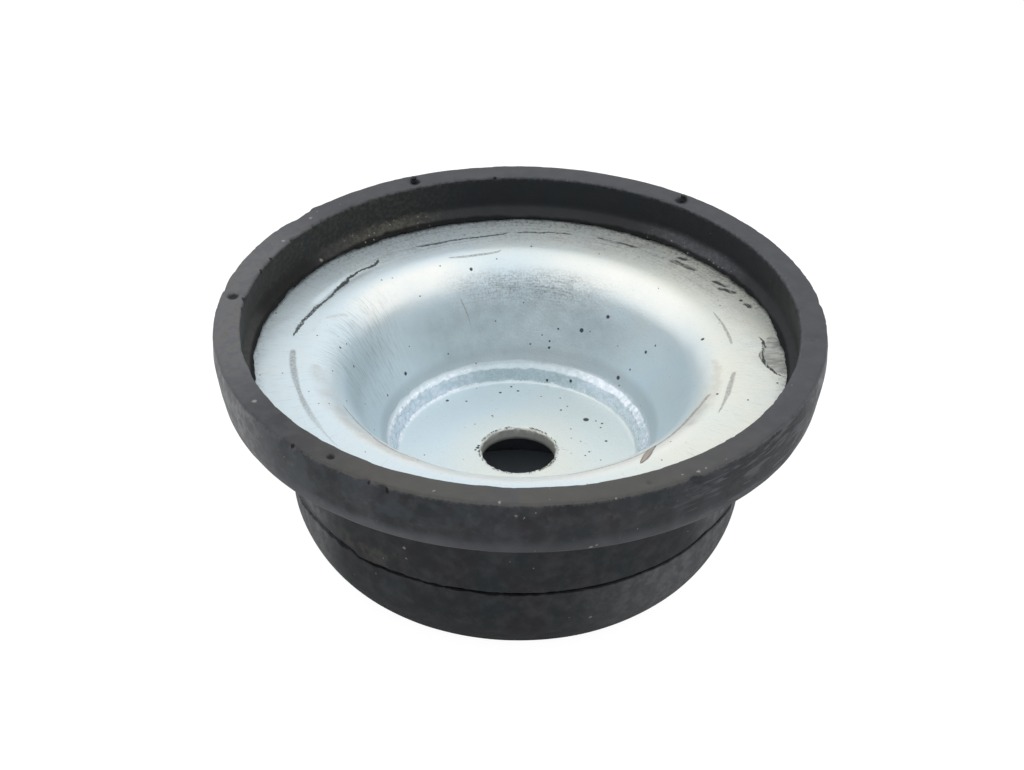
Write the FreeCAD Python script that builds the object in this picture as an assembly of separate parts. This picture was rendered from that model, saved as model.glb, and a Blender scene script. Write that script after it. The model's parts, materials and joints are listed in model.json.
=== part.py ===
import FreeCAD, Part
import math
import os

# Shock absorber mount: one rubber moulding bonded round one dished steel plate.
# The rod axis is +Z. Height 0 is the rubber face that stands on the spring side.
# Every section is drawn as (radius, height) and turned about the rod axis.

# Rubber rim
overall_height = 48.0
rim_outer_radius = 57.8
rim_wall = 5.3
rim_crown_drop = 3.8
rim_top_inset = 0.2
rim_top_edge_bevel = 0.35
rim_side_height = 11.6
rim_side_draft = 1.3
rim_crown_rounding = 10.0
rim_lower_edge_rounding = 2.2
rim_underside_slope = 22.0

# Rubber lip that holds down the edge of the plate
lip_width = 2.0
lip_height = 0.8
lip_bevel = 1.5
lip_draft = 0.2

# Rubber neck, moulding slit and lower body
neck_radius = 43.7
lower_body_height = 16.3
lower_body_radius = 43.4
slit_height = 0.7
slit_depth = 2.4
foot_radius = 36.9
foot_bevel_height = 6.6
belly_rounding = 19.0
foot_rounding = 3.0

# Pocket under the plate
pocket_radius = 21.0
pocket_draft = 1.6

# Dished plate
plate_thickness = 2.5
plate_drop = 9.3
plate_grip = 3.0
bowl_depth = 21.7
bowl_wall_angle = 62.0
bowl_lip_bend = 9.0
floor_radius = 23.4
step_height = 2.8
step_draft = 0.8
ledge_width = 1.3
ledge_fall = 0.9
bore_radius = 7.2
bore_edge_bevel = 0.35

# Moulding vents on the top of the rim: the first ones keep their stubs, the rest are torn out
vent_count = 6
vent_first_angle = 53.7
vent_stub_count = 2
vent_stub_radius = 1.1
vent_stub_height = 0.9
vent_stub_bevel = 0.3
vent_stub_root = 1.0
torn_vent_radius = 1.3
torn_vent_floor_radius = 0.6
torn_vent_depth = 0.5

# Levels and radii that follow from the sizes above
rim_inner_radius = rim_outer_radius - rim_wall
flange_level = overall_height - plate_drop
floor_level = flange_level - bowl_depth
lip_radius = rim_inner_radius - lip_width
flange_radius = lip_radius + plate_grip
rim_top_radius = rim_outer_radius - rim_top_inset
vent_circle_radius = (rim_inner_radius + rim_top_radius) / 2

# Share of a side that the roundings at its two ends may take up together
rounding_share = 0.98
least_reach = 0.001
full_turn = 360.0


def line_crossing(start_a, direction_a, start_b, direction_b):
    """Point where two lines in the section plane cross."""
    cross = direction_a[0] * direction_b[1] - direction_a[1] * direction_b[0]
    gap_r = start_b[0] - start_a[0]
    gap_z = start_b[1] - start_a[1]
    along = (gap_r * direction_b[1] - gap_z * direction_b[0]) / cross
    return (start_a[0] + along * direction_a[0], start_a[1] + along * direction_a[1])


def unit_direction(start, end):
    """Unit vector from one section point to another."""
    length = math.hypot(end[0] - start[0], end[1] - start[1])
    return ((end[0] - start[0]) / length, (end[1] - start[1]) / length)


def offset_corners(corners, distance):
    """Corners of the line that runs at a distance below a line of (radius, height, bend) corners.

    The line runs inwards. A bend of the upper side that is tighter than the distance has a plain
    corner below it. Any other bend keeps its centre, so the sheet stays of one thickness.
    """
    directions = []
    for start, end in zip(corners, corners[1:]):
        directions.append(unit_direction(start, end))
    starts = []
    for corner, direction in zip(corners, directions):
        starts.append((corner[0] - direction[1] * distance, corner[1] + direction[0] * distance))
    lowered = [(corners[0][0], starts[0][1], corners[0][2])]
    for index in range(1, len(directions)):
        before = directions[index - 1]
        after = directions[index]
        turn = before[0] * after[1] - before[1] * after[0]
        point = line_crossing(starts[index - 1], before, starts[index], after)
        bend = 0.0
        if corners[index][2] > distance:
            bend = corners[index][2] - math.copysign(distance, turn)
        lowered.append((point[0], point[1], bend))
    lowered.append((corners[-1][0], corners[-1][1] - distance, 0.0))
    return lowered


def section_point(radius, height):
    """Point of a section in space."""
    return FreeCAD.Vector(radius, 0, height)


def corner_opening(before, corner, after):
    """Angle between the two sides that meet at a corner."""
    back = unit_direction(corner, before)
    ahead = unit_direction(corner, after)
    return math.acos(max(-1.0, min(1.0, back[0] * ahead[0] + back[1] * ahead[1])))


def rounding_reaches(corners):
    """Length of both sides that each rounding takes up, cut down where a side is too short."""
    wished = []
    for index, corner in enumerate(corners):
        following = corners[(index + 1) % len(corners)]
        opening = corner_opening(corners[index - 1], corner, following)
        wished.append(corner[2] / math.tan(opening / 2))
    reaches = list(wished)
    for index in range(len(corners)):
        following = (index + 1) % len(corners)
        side = math.dist(corners[index][:2], corners[following][:2]) * rounding_share
        needed = max(wished[index] + wished[following], side)
        for end in (index, following):
            reaches[end] = min(reaches[end], wished[end] * side / needed)
    return reaches


def rounded_corner(before, corner, after, reach):
    """Start, middle and end of the tangent arc at a corner, or the bare corner."""
    if reach < least_reach:
        return [section_point(corner[0], corner[1])]
    back = unit_direction(corner, before)
    ahead = unit_direction(corner, after)
    half_opening = corner_opening(before, corner, after) / 2
    rounding = reach * math.tan(half_opening)
    bisector = unit_direction((0, 0), (back[0] + ahead[0], back[1] + ahead[1]))
    to_middle = rounding / math.sin(half_opening) - rounding
    return [
        section_point(corner[0] + back[0] * reach, corner[1] + back[1] * reach),
        section_point(corner[0] + bisector[0] * to_middle, corner[1] + bisector[1] * to_middle),
        section_point(corner[0] + ahead[0] * reach, corner[1] + ahead[1] * reach),
    ]


def section_face(corners):
    """Flat face inside a closed outline of (radius, height, rounding) corners."""
    reaches = rounding_reaches(corners)
    rounded = []
    for index, corner in enumerate(corners):
        following = corners[(index + 1) % len(corners)]
        rounded.append(rounded_corner(corners[index - 1], corner, following, reaches[index]))
    edges = []
    for index, points in enumerate(rounded):
        if len(points) > 1:
            edges.append(Part.Arc(points[0], points[1], points[2]).toShape())
        following = rounded[(index + 1) % len(rounded)]
        edges.append(Part.makeLine(points[-1], following[0]))
    return Part.Face(Part.Wire(edges))


def turned(face):
    """Solid that a section sweeps in one full turn about the rod axis."""
    return face.revolve(FreeCAD.Vector(0, 0, 0), FreeCAD.Vector(0, 0, 1), full_turn)


def plate_upper_corners():
    """Upper side of the plate from the flange's edge inwards to the bore."""
    step_radius = floor_radius + step_draft
    step_level = floor_level + step_height
    ledge_radius = step_radius + ledge_width
    ledge_level = step_level + ledge_fall
    wall_run = (flange_level - ledge_level) / math.tan(math.radians(bowl_wall_angle))
    return [
        (flange_radius, flange_level, 0.0),
        (ledge_radius + wall_run, flange_level, bowl_lip_bend),
        (ledge_radius, ledge_level, 0.0),
        (step_radius, step_level, 0.0),
        (floor_radius, floor_level, 0.0),
        (bore_radius, floor_level, 0.0),
    ]


def plate_section():
    """Section of the dished plate, a sheet of one thickness with a bevel round the punched bore."""
    upper = plate_upper_corners()
    lower = offset_corners(upper, plate_thickness)
    bore_bevel = [
        (bore_radius + bore_edge_bevel, floor_level, 0.0),
        (bore_radius, floor_level - bore_edge_bevel, 0.0),
    ]
    return section_face(upper[:-1] + bore_bevel + lower[::-1])


def rim_corners():
    """Rubber from the lip over the top of the rim and down to the neck."""
    crown_level = overall_height - rim_crown_drop
    rim_lower_radius = rim_outer_radius - rim_side_draft
    rim_lower_level = overall_height - rim_side_height
    underside_fall = (rim_lower_radius - neck_radius) * math.tan(math.radians(rim_underside_slope))
    lip_level = flange_level + lip_height
    return [
        (lip_radius + lip_draft, lip_level, 0.0),
        (rim_inner_radius, lip_level + lip_bevel, 0.0),
        (rim_inner_radius, overall_height, 0.0),
        (rim_top_radius - rim_top_edge_bevel, overall_height, 0.0),
        (rim_top_radius, overall_height - rim_top_edge_bevel, 0.0),
        (rim_outer_radius, crown_level, rim_crown_rounding),
        (rim_lower_radius, rim_lower_level, rim_lower_edge_rounding),
        (neck_radius, rim_lower_level - underside_fall, 0.0),
    ]


def lower_body_corners():
    """Rubber from the slit down to the foot and in to the pocket's mouth."""
    slit_top = lower_body_height + slit_height
    slit_floor_radius = min(neck_radius, lower_body_radius) - slit_depth
    return [
        (neck_radius, slit_top, 0.0),
        (slit_floor_radius, slit_top, 0.0),
        (slit_floor_radius, lower_body_height, 0.0),
        (lower_body_radius, lower_body_height, 0.0),
        (lower_body_radius, foot_bevel_height, belly_rounding),
        (foot_radius, 0.0, foot_rounding),
        (pocket_radius + pocket_draft, 0.0, 0.0),
    ]


def rubber_section():
    """Section of the moulding, cut back to the plate that it is bonded to.

    Inside the plate the outline follows the middle of the sheet.
    """
    middle = offset_corners(plate_upper_corners(), plate_thickness / 2)
    middle_floor = middle[-1][1]
    middle_flange = middle[0][1]
    inside = [(pocket_radius, middle_floor, 0.0)]
    inside += [(corner[0], corner[1], 0.0) for corner in middle[-2:0:-1]]
    inside.append((lip_radius, middle_flange, 0.0))
    outline = section_face(rim_corners() + lower_body_corners() + inside)
    return outline.cut(plate_section()).Faces[0]


def vent_points():
    """Places of the moulding vents on the top of the rim."""
    points = []
    for index in range(vent_count):
        angle = math.radians(vent_first_angle + index * full_turn / vent_count)
        across = vent_circle_radius * math.cos(angle)
        along = vent_circle_radius * math.sin(angle)
        points.append(FreeCAD.Vector(across, along, overall_height))
    return points


def vent_stub(point):
    """Rubber stub that stands on the rim, with a bevelled top."""
    root = point - FreeCAD.Vector(0, 0, vent_stub_root)
    shank = vent_stub_root + vent_stub_height - vent_stub_bevel
    stub = Part.makeCylinder(vent_stub_radius, shank, root)
    shoulder = root + FreeCAD.Vector(0, 0, shank)
    top_radius = vent_stub_radius - vent_stub_bevel
    return stub.fuse(Part.makeCone(vent_stub_radius, top_radius, vent_stub_bevel, shoulder))


def torn_vent(point):
    """Cone that leaves a shallow round dent in the rim."""
    floor = point - FreeCAD.Vector(0, 0, torn_vent_depth)
    spread = (torn_vent_radius - torn_vent_floor_radius) / torn_vent_depth
    height = torn_vent_depth * 2
    return Part.makeCone(torn_vent_floor_radius, torn_vent_floor_radius + spread * height, height, floor)


def make_dished_plate():
    """Pressed and plated steel dish with the rod bore in its floor."""
    return turned(plate_section())


def make_rubber_body():
    """Rubber rim, neck and lower body in one moulding."""
    body = turned(rubber_section())
    for index, point in enumerate(vent_points()):
        if index < vent_stub_count:
            body = body.fuse(vent_stub(point))
        else:
            body = body.cut(torn_vent(point))
    return body.Solids[0]


def write_node(name, shape):
    """Check one solid and write it under its own name."""
    if not shape.isValid():
        raise ValueError(name + " is not a valid solid")
    shape.exportStep("parts/" + name + ".step")
    print(name, "volume", round(shape.Volume), "box", shape.BoundBox)


os.makedirs("parts", exist_ok=True)
write_node("dished_plate", make_dished_plate())
write_node("rubber_body", make_rubber_body())
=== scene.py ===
import functools
import itertools
import json
import math
import operator
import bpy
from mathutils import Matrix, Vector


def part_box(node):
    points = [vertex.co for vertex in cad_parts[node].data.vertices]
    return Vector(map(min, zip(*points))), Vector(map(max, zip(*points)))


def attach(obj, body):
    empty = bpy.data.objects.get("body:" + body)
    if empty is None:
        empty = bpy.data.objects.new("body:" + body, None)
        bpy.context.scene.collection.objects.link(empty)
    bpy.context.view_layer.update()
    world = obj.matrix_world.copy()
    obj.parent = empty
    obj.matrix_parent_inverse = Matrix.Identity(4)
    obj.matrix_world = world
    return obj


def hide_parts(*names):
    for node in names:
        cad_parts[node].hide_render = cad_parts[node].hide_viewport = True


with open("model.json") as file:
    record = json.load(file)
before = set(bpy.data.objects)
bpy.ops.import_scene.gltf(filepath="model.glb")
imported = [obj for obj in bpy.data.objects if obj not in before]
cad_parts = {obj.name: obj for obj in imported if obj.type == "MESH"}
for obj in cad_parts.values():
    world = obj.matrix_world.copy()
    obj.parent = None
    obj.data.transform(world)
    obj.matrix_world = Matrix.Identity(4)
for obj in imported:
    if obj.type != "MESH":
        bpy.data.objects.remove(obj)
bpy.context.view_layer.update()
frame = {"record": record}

from types import SimpleNamespace

import bmesh
import bpy
import numpy as np
from bpy.props import FloatProperty, FloatVectorProperty, IntProperty, PointerProperty
from mathutils import Matrix, Vector

bl_info = {
    "name": "Shock Absorber Mount",
    "version": (1, 0, 0),
    "blender": (4, 5, 0),
    "location": "View3D > Sidebar > Mount",
    "description": "Rubber moulding and zinc plated dish of a shock absorber mount",
    "category": "Object",
}

MM = 0.001

MOUNTS = {mount["name"]: mount for mount in frame["record"]["mounts"]}
RIM_LEVEL = MOUNTS["rim_top"]["pos_m"][2]
BORE_RADIUS = MOUNTS["rod_bore"]["dims"]["r_mm"] * MM
PLATE_FLOOR = MOUNTS["plate_floor"]["pos_m"][2]
PLATE_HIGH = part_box("dished_plate")[1]
PLATE_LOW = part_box("dished_plate")[0]
RUBBER_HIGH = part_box("rubber_body")[1]

# Distance between a section's points, how many times longer it is on plain runs, and radians of a rounding's steps
PLATE_SPACING = 0.62 * MM
RUBBER_SPACING = 0.8 * MM
PLAIN_STRETCH = 6
ROUNDING_STEP = 0.35

# Room for the skin's waves at the rim's outside and inside
RIM_ROOM = 0.06 * MM
WALL_ROOM = 0.05 * MM

# Circle that carries a section as it turns, and how near doubles are merged
GUIDE_RADIUS = 30 * MM
WELD_DISTANCE = 0.001 * MM


def length(title, text, millimetres):
    """A size, given in millimetres and kept in metres."""
    return FloatProperty(name=title, description=text, default=millimetres * MM, unit="LENGTH", precision=5)


def tone(code):
    """Linear colour of a six-digit screen colour."""
    linear = []
    for start in (0, 2, 4):
        value = int(code[start:start + 2], 16) / 255
        linear.append(value / 12.92 if value <= 0.04045 else ((value + 0.055) / 1.055) ** 2.4)
    return tuple(linear)


def colour(title, text, code):
    """A colour, given as a six-digit screen colour."""
    return FloatVectorProperty(name=title, description=text, default=tone(code), subtype="COLOR", size=3)


class RubberSizes(bpy.types.PropertyGroup):
    """Sizes of the rubber moulding."""
    rim_wall: length("Rim wall", "Thickness of the rim at its top", 5.2)
    rim_side: length("Rim side", "Height of the rim's outer side", 11.6)
    rim_draft: length("Rim draft", "How far the rim's side runs in towards its lower edge", 1.3)
    crown_drop: length("Crown drop", "Depth of the widest place under the rim's top", 3.8)
    lip_width: length("Lip width", "How far the lip reaches over the plate", 2.0)
    neck_radius: length("Neck radius", "Radius of the neck under the rim", 43.7)
    neck_top: length("Neck top", "Level at which the rim's underside meets the neck", 31.2)
    slit_level: length("Slit level", "Level of the moulding slit's lower edge", 16.15)
    slit_height: length("Slit height", "Height of the moulding slit at its mouth", 0.7)
    slit_depth: length("Slit depth", "Depth of the moulding slit", 2.3)
    lower_radius: length("Lower radius", "Radius of the lower body", 43.4)
    belly_level: length("Belly level", "Level at which the lower body turns in", 6.6)
    foot_radius: length("Foot radius", "Radius of the flat foot", 36.9)
    pocket_radius: length("Pocket radius", "Radius of the pocket at the plate", 21.0)
    pocket_draft: length("Pocket draft", "How much wider the pocket is at its mouth", 1.6)
    body_shift: length("Body shift", "How far the lower body sits off the rim's axis", 0.4)
    skin_wave: length("Skin wave", "Height of the slow waves in the moulded skin", 0.16)
    skin_wave_size: length("Skin wave size", "Width of the slow waves in the moulded skin", 14.0)
    turns: IntProperty(name="Turns", description="Steps round the rod axis", default=550)
    seed: IntProperty(name="Seed", description="Seed of the moulding's unevenness", default=7)


class PlateSizes(bpy.types.PropertyGroup):
    """Sizes of the dished plate."""
    sheet: length("Sheet", "Thickness of the steel sheet", 2.5)
    wall_slope: FloatProperty(name="Wall slope", description="Slope of the bowl's wall", default=math.radians(62),
                              subtype="ANGLE")
    lip_bend: length("Lip bend", "Radius of the bend from the flange into the bowl", 9.0)
    ledge_radius: length("Ledge radius", "Radius of the crease under the wall", 25.5)
    ledge_level: length("Ledge level", "Height of that crease over the floor", 3.7)
    step_radius: length("Step radius", "Radius of the step's upper edge", 24.2)
    step_level: length("Step level", "Height of the step over the floor", 2.8)
    floor_radius: length("Floor radius", "Radius of the flat floor", 23.4)
    flange_wave: length("Flange wave", "Height of the slow waves in the pressed sheet", 0.10)
    flange_wave_size: length("Flange wave size", "Width of the slow waves in the sheet", 17.0)
    turns: IntProperty(name="Turns", description="Steps round the rod axis", default=690)
    seed: IntProperty(name="Seed", description="Seed of the sheet's unevenness", default=3)


class TrimSizes(bpy.types.PropertyGroup):
    """Sizes and numbers of the small moulding and punching marks."""
    vents: IntProperty(name="Vents", description="Moulding vents round the rim's top", default=6)
    first_vent: FloatProperty(name="First vent", description="Angle of the first vent", default=math.radians(53.7),
                              subtype="ANGLE")
    stubs: IntProperty(name="Stubs", description="Vents that keep their rubber stub", default=2)
    vent_circle: length("Vent circle", "Radius of the circle that the vents lie on", 55.0)
    stub_radius: length("Stub radius", "Radius of a vent stub", 0.75)
    stub_height: length("Stub height", "Height of a vent stub over the rim", 0.62)
    burr_places: IntProperty(name="Burr places", description="Places round the bore, about half of which get a burr",
                             default=480)
    burr_size: length("Burr size", "Size of a burr", 0.19)
    seed: IntProperty(name="Seed", description="Seed of the small marks", default=11)


class MountColours(bpy.types.PropertyGroup):
    """Colours of the finishes."""
    rubber: colour("Rubber", "Moulded rubber", "1f1f23")
    # Also the colour of the painted highlights on the rim's edges and sides
    rubber_bloom: colour("Rubber bloom", "Grey bloom on rubber that was touched", "57575b")
    dust: colour("Dust", "Olive brown dust on the rubber", "5b584f")
    zinc_blue: colour("Zinc, blue", "Bluish zinc plating", "d8e6ec")
    zinc_cream: colour("Zinc, cream", "Creamy zinc plating", "e8e9df")
    # Painted highlight on the lip's bend at the far left and far right, and just inside the near lip
    zinc_bright: colour("Zinc, bright", "Brightest zinc plating, on the lip's bend", "fbfaf4")
    zinc_shade: colour("Zinc, shade", "Plating that mirrors the dark side of the bowl", "8a9a9d")
    zinc_deep: colour("Zinc, deep", "Zinc plating down in the bowl", "d3e3eb")
    burr: colour("Burr", "Torn steel round the bore", "5d574d")
    # Also the colour of the painted shade in the crease under the bowl's wall
    grime: colour("Grime", "Grey grime on the plating", "6f706f")
    black_mark: colour("Black mark", "Black scrapes on the plating", "17161b")
    rust_stain: colour("Rust stain", "Thin brown stain", "8a7361")
    # Painted shade on the floor seen through the bore
    pocket_dark: colour("Pocket", "Floor seen through the bore", "acb3bb")
    backdrop: colour("Backdrop", "Floor and background", "ffffff")


class MountSettings(bpy.types.PropertyGroup):
    """All the sizes and colours of the mount."""
    rubber: PointerProperty(type=RubberSizes)
    plate: PointerProperty(type=PlateSizes)
    trim: PointerProperty(type=TrimSizes)
    colours: PointerProperty(type=MountColours)


# Sections

def unit(vector):
    """A vector of length one along the given one."""
    return vector / np.hypot(*vector)


def run_shares(distance, spacing, plain):
    """Shares of a straight run at which it has points. A plain run has few, with one close to each end."""
    if plain and distance > 4 * spacing:
        edge = spacing / distance
        between = max(1, int(round((distance - 2 * spacing) / (PLAIN_STRETCH * spacing))))
        return [edge + (1 - 2 * edge) * step / between for step in range(between + 1)]
    between = max(1, int(round(distance / spacing)))
    return [step / between for step in range(1, between)]


def rounded_section(corners, spacing):
    """Closed section through (radius, height, rounding, freedom) corners, as points with their freedom.

    Freedom is 1 where the skin may be uneven, and 0 where it lies on the other piece.
    """
    places = [np.array(corner[:2], float) for corner in corners]
    stations = []
    for index, corner in enumerate(corners):
        back = unit(places[index - 1] - places[index])
        ahead = unit(places[(index + 1) % len(corners)] - places[index])
        half = math.acos(max(-1.0, min(1.0, float(back @ ahead)))) / 2
        rounding = corner[2]
        if rounding == 0:
            stations.append([places[index]])
            continue
        reach = rounding / math.tan(half)
        middle = places[index] + unit(back + ahead) * rounding / math.sin(half)
        sweep = math.pi - 2 * half
        count = max(2, int(round(sweep * rounding / spacing)), int(round(sweep / ROUNDING_STEP)))
        first = places[index] + back * reach - middle
        side = math.copysign(1, back[0] * ahead[1] - back[1] * ahead[0])
        turn = -side * sweep / count
        arc = []
        for step in range(count + 1):
            cosine, sine = math.cos(turn * step), math.sin(turn * step)
            arc.append(middle + np.array([first[0] * cosine - first[1] * sine, first[0] * sine + first[1] * cosine]))
        stations.append(arc)
    points = []
    for index, arc in enumerate(stations):
        free = corners[index][3]
        points += [(place[0], place[1], free) for place in arc]
        start, end = arc[-1], stations[(index + 1) % len(stations)][0]
        following = corners[(index + 1) % len(corners)][3]
        for share in run_shares(np.hypot(*(end - start)), spacing, free == following == 0):
            place = start + (end - start) * share
            points.append((place[0], place[1], min(free, following)))
    return points


def plate_upper_corners(sizes):
    """Upper side of the dished plate, from the flange's edge in to the bore."""
    ledge_level = PLATE_FLOOR + sizes.ledge_level
    run = (PLATE_HIGH.z - ledge_level) / math.tan(sizes.wall_slope)
    return [
        (PLATE_HIGH.x, PLATE_HIGH.z, 0, 1),
        (sizes.ledge_radius + run, PLATE_HIGH.z, sizes.lip_bend, 1),
        (sizes.ledge_radius, ledge_level, 0.5 * MM, 1),
        (sizes.step_radius, PLATE_FLOOR + sizes.step_level, 0.7 * MM, 1),
        (sizes.floor_radius, PLATE_FLOOR, 0.8 * MM, 1),
        (BORE_RADIUS, PLATE_FLOOR, 0.45 * MM, 1),
    ]


def plate_lower_corners(sizes):
    """Lower side of the dished plate, from the bore out to the flange's edge."""
    upper = [np.array(corner[:2]) for corner in plate_upper_corners(sizes)]
    directions = [unit(end - start) for start, end in zip(upper, upper[1:])]
    lowered = [(PLATE_HIGH.x, PLATE_HIGH.z - sizes.sheet, 0, 0)]
    for index in range(1, len(directions)):
        before, after = directions[index - 1], directions[index]
        start = upper[index] + np.array([-before[1], before[0]]) * sizes.sheet
        onward = upper[index] + np.array([-after[1], after[0]]) * sizes.sheet
        gap = onward - start
        along = (gap[0] * after[1] - gap[1] * after[0]) / (before[0] * after[1] - before[1] * after[0])
        place = start + before * along
        bend = sizes.lip_bend - sizes.sheet if index == 1 else 0
        lowered.append((place[0], place[1], bend, 0))
    lowered.append((BORE_RADIUS, PLATE_FLOOR - sizes.sheet, 0, 0))
    return lowered[::-1]


def plate_section(sizes):
    """Section of the dished plate."""
    return rounded_section(plate_upper_corners(sizes) + plate_lower_corners(sizes), PLATE_SPACING)


def rubber_section(sizes, plate):
    """Section of the rubber moulding: lip, rim, neck, slit, lower body, pocket and the face on the plate."""
    rim_radius = RUBBER_HIGH.x - RIM_ROOM
    inner_radius = RUBBER_HIGH.x - sizes.rim_wall - WALL_ROOM
    lip_radius = inner_radius - sizes.lip_width
    flange = PLATE_HIGH.z
    slit_top = sizes.slit_level + sizes.slit_height
    slit_floor = sizes.neck_radius - sizes.slit_depth
    outside = [
        (lip_radius + 0.7 * MM, flange - 0.1 * MM, 0, 1),
        (lip_radius - 0.1 * MM, flange + 0.62 * MM, 0.16 * MM, 1),
        (lip_radius + 0.5 * MM, flange + 1.1 * MM, 0.35 * MM, 1),
        (inner_radius, flange + 2.5 * MM, 0.8 * MM, 1),
        (inner_radius, RIM_LEVEL, 0.4 * MM, 1),
        (rim_radius - 0.2 * MM, RIM_LEVEL, 0.55 * MM, 1),
        (rim_radius, RIM_LEVEL - sizes.crown_drop, 10 * MM, 1),
        (rim_radius - sizes.rim_draft, RIM_LEVEL - sizes.rim_side, 2.2 * MM, 1),
        (sizes.neck_radius, sizes.neck_top, 3 * MM, 1),
        (sizes.neck_radius, slit_top, 0.3 * MM, 1),
        (slit_floor, slit_top - 0.15 * MM, 0.2 * MM, 1),
        (slit_floor, sizes.slit_level + 0.1 * MM, 0.2 * MM, 1),
        (sizes.lower_radius - 0.05 * MM, sizes.slit_level, 0.18 * MM, 1),
        (sizes.lower_radius, sizes.belly_level, 19 * MM, 1),
        (sizes.foot_radius, 0, 3 * MM, 0),
        (sizes.pocket_radius + sizes.pocket_draft, 0, 1 * MM, 0),
        (sizes.pocket_radius, PLATE_LOW.z, 0, 0),
    ]
    bonded = [corner for corner in plate_lower_corners(plate) if corner[0] > sizes.pocket_radius]
    bonded.append((PLATE_HIGH.x, flange, 0, 0))
    return rounded_section(outside + bonded, RUBBER_SPACING)


def section_mesh(name, section, guide):
    """Section as a ring of edges in the XY plane, with radii counted from the guide circle and heights down."""
    mesh = bpy.data.meshes.new(name)
    points = [(place[0] - guide, -place[1], 0) for place in section]
    edges = [(index, (index + 1) % len(points)) for index in range(len(points))]
    mesh.from_pydata(points, edges, [])
    free = mesh.attributes.new("free", "FLOAT", "POINT")
    free.data.foreach_set("value", [place[2] for place in section])
    return mesh


# Geometry Nodes

# Size of a stub's torn skin, and how far past the vents' circle the stubs stand
TEAR_SIZE = 0.8 * MM
STUB_OUTSET = 0.5 * MM

# Length of the burrs' clumps, the noise above which there are burrs, and how far outside the bore they start
CLUMP_SIZE = 3.5 * MM
CLUMP_LIMIT = 0.47
BURR_OUTSET = 0.35 * MM

GEOMETRY, NUMBER, WHOLE, MATERIAL = (
    "NodeSocketGeometry", "NodeSocketFloat", "NodeSocketInt", "NodeSocketMaterial")


class Recipe:
    """A Geometry Nodes tree with named inputs, and the one way that its nodes are made."""

    def __init__(self, name, **inputs):
        self.tree = bpy.data.node_groups.new(name, "GeometryNodeTree")
        self.tree.interface.new_socket("Geometry", in_out="INPUT", socket_type=GEOMETRY)
        for title, kind in inputs.items():
            self.tree.interface.new_socket(title.replace("_", " "), in_out="INPUT", socket_type=kind)
        self.tree.interface.new_socket("Geometry", in_out="OUTPUT", socket_type=GEOMETRY)
        self.given = self.tree.nodes.new("NodeGroupInput").outputs

    def node(self, kind, settings=None, output=0, **values):
        """Adds a node and returns one of its outputs. A value's name is a socket's name, or i and its index."""
        made = self.tree.nodes.new(kind)
        for key, value in (settings or {}).items():
            setattr(made, key, value)
        for key, value in values.items():
            is_index = key[0] == "i" and key[1:].isdigit()
            socket = made.inputs[int(key[1:])] if is_index else made.inputs[key.replace("_", " ")]
            if isinstance(value, bpy.types.NodeSocket):
                self.tree.links.new(value, socket)
            else:
                socket.default_value = value
        return made.outputs[output]

    def maths(self, operation, *values):
        """A Math node on numbers or sockets."""
        return self.node("ShaderNodeMath", {"operation": operation}, **{f"i{i}": v for i, v in enumerate(values)})

    def vectors(self, operation, first, second):
        """A Vector Math node on two vectors."""
        return self.node("ShaderNodeVectorMath", {"operation": operation}, i0=first, i1=second)

    def scaled(self, vector, factor):
        """A vector times a number."""
        return self.node("ShaderNodeVectorMath", {"operation": "SCALE"}, i0=vector, Scale=factor)

    def random(self, low, high, seed, channel):
        """A random number for each point, or a vector between two vectors."""
        kind, output, first = ("FLOAT_VECTOR", 0, 0) if isinstance(low, tuple) else ("FLOAT", 1, 2)
        return self.node("FunctionNodeRandomValue", {"data_type": kind}, output,
                         **{f"i{first}": low, f"i{first + 1}": high, "Seed": self.maths("ADD", seed, channel)})

    def finish(self, geometry):
        """Ends the tree with real geometry in the given material."""
        real = self.node("GeometryNodeRealizeInstances", Geometry=geometry)
        dressed = self.node("GeometryNodeSetMaterial", Geometry=real, Material=self.given["Material"])
        end = self.tree.nodes.new("NodeGroupOutput")
        self.tree.links.new(dressed, end.inputs[0])
        return self.tree


def grown(name, tree, start=None, **values):
    """Plain mesh that a tree makes, from a starting mesh or from none. A value's name is that of a tree's input."""
    if start is None:
        start = bpy.data.meshes.new(name + "_start")
    holder = bpy.data.objects.new(name + "_start", start)
    bpy.context.scene.collection.objects.link(holder)
    modifier = holder.modifiers.new("grow", "NODES")
    modifier.node_group = tree
    identifiers = {item.name: item.identifier for item in tree.interface.items_tree if item.in_out == "INPUT"}
    for key, value in values.items():
        modifier[identifiers[key.replace("_", " ")]] = value
    graph = bpy.context.evaluated_depsgraph_get()
    mesh = bpy.data.meshes.new_from_object(holder.evaluated_get(graph), preserve_all_data_layers=True,
                                           depsgraph=graph)
    bpy.data.objects.remove(holder)
    mesh.name = name
    return mesh


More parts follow.
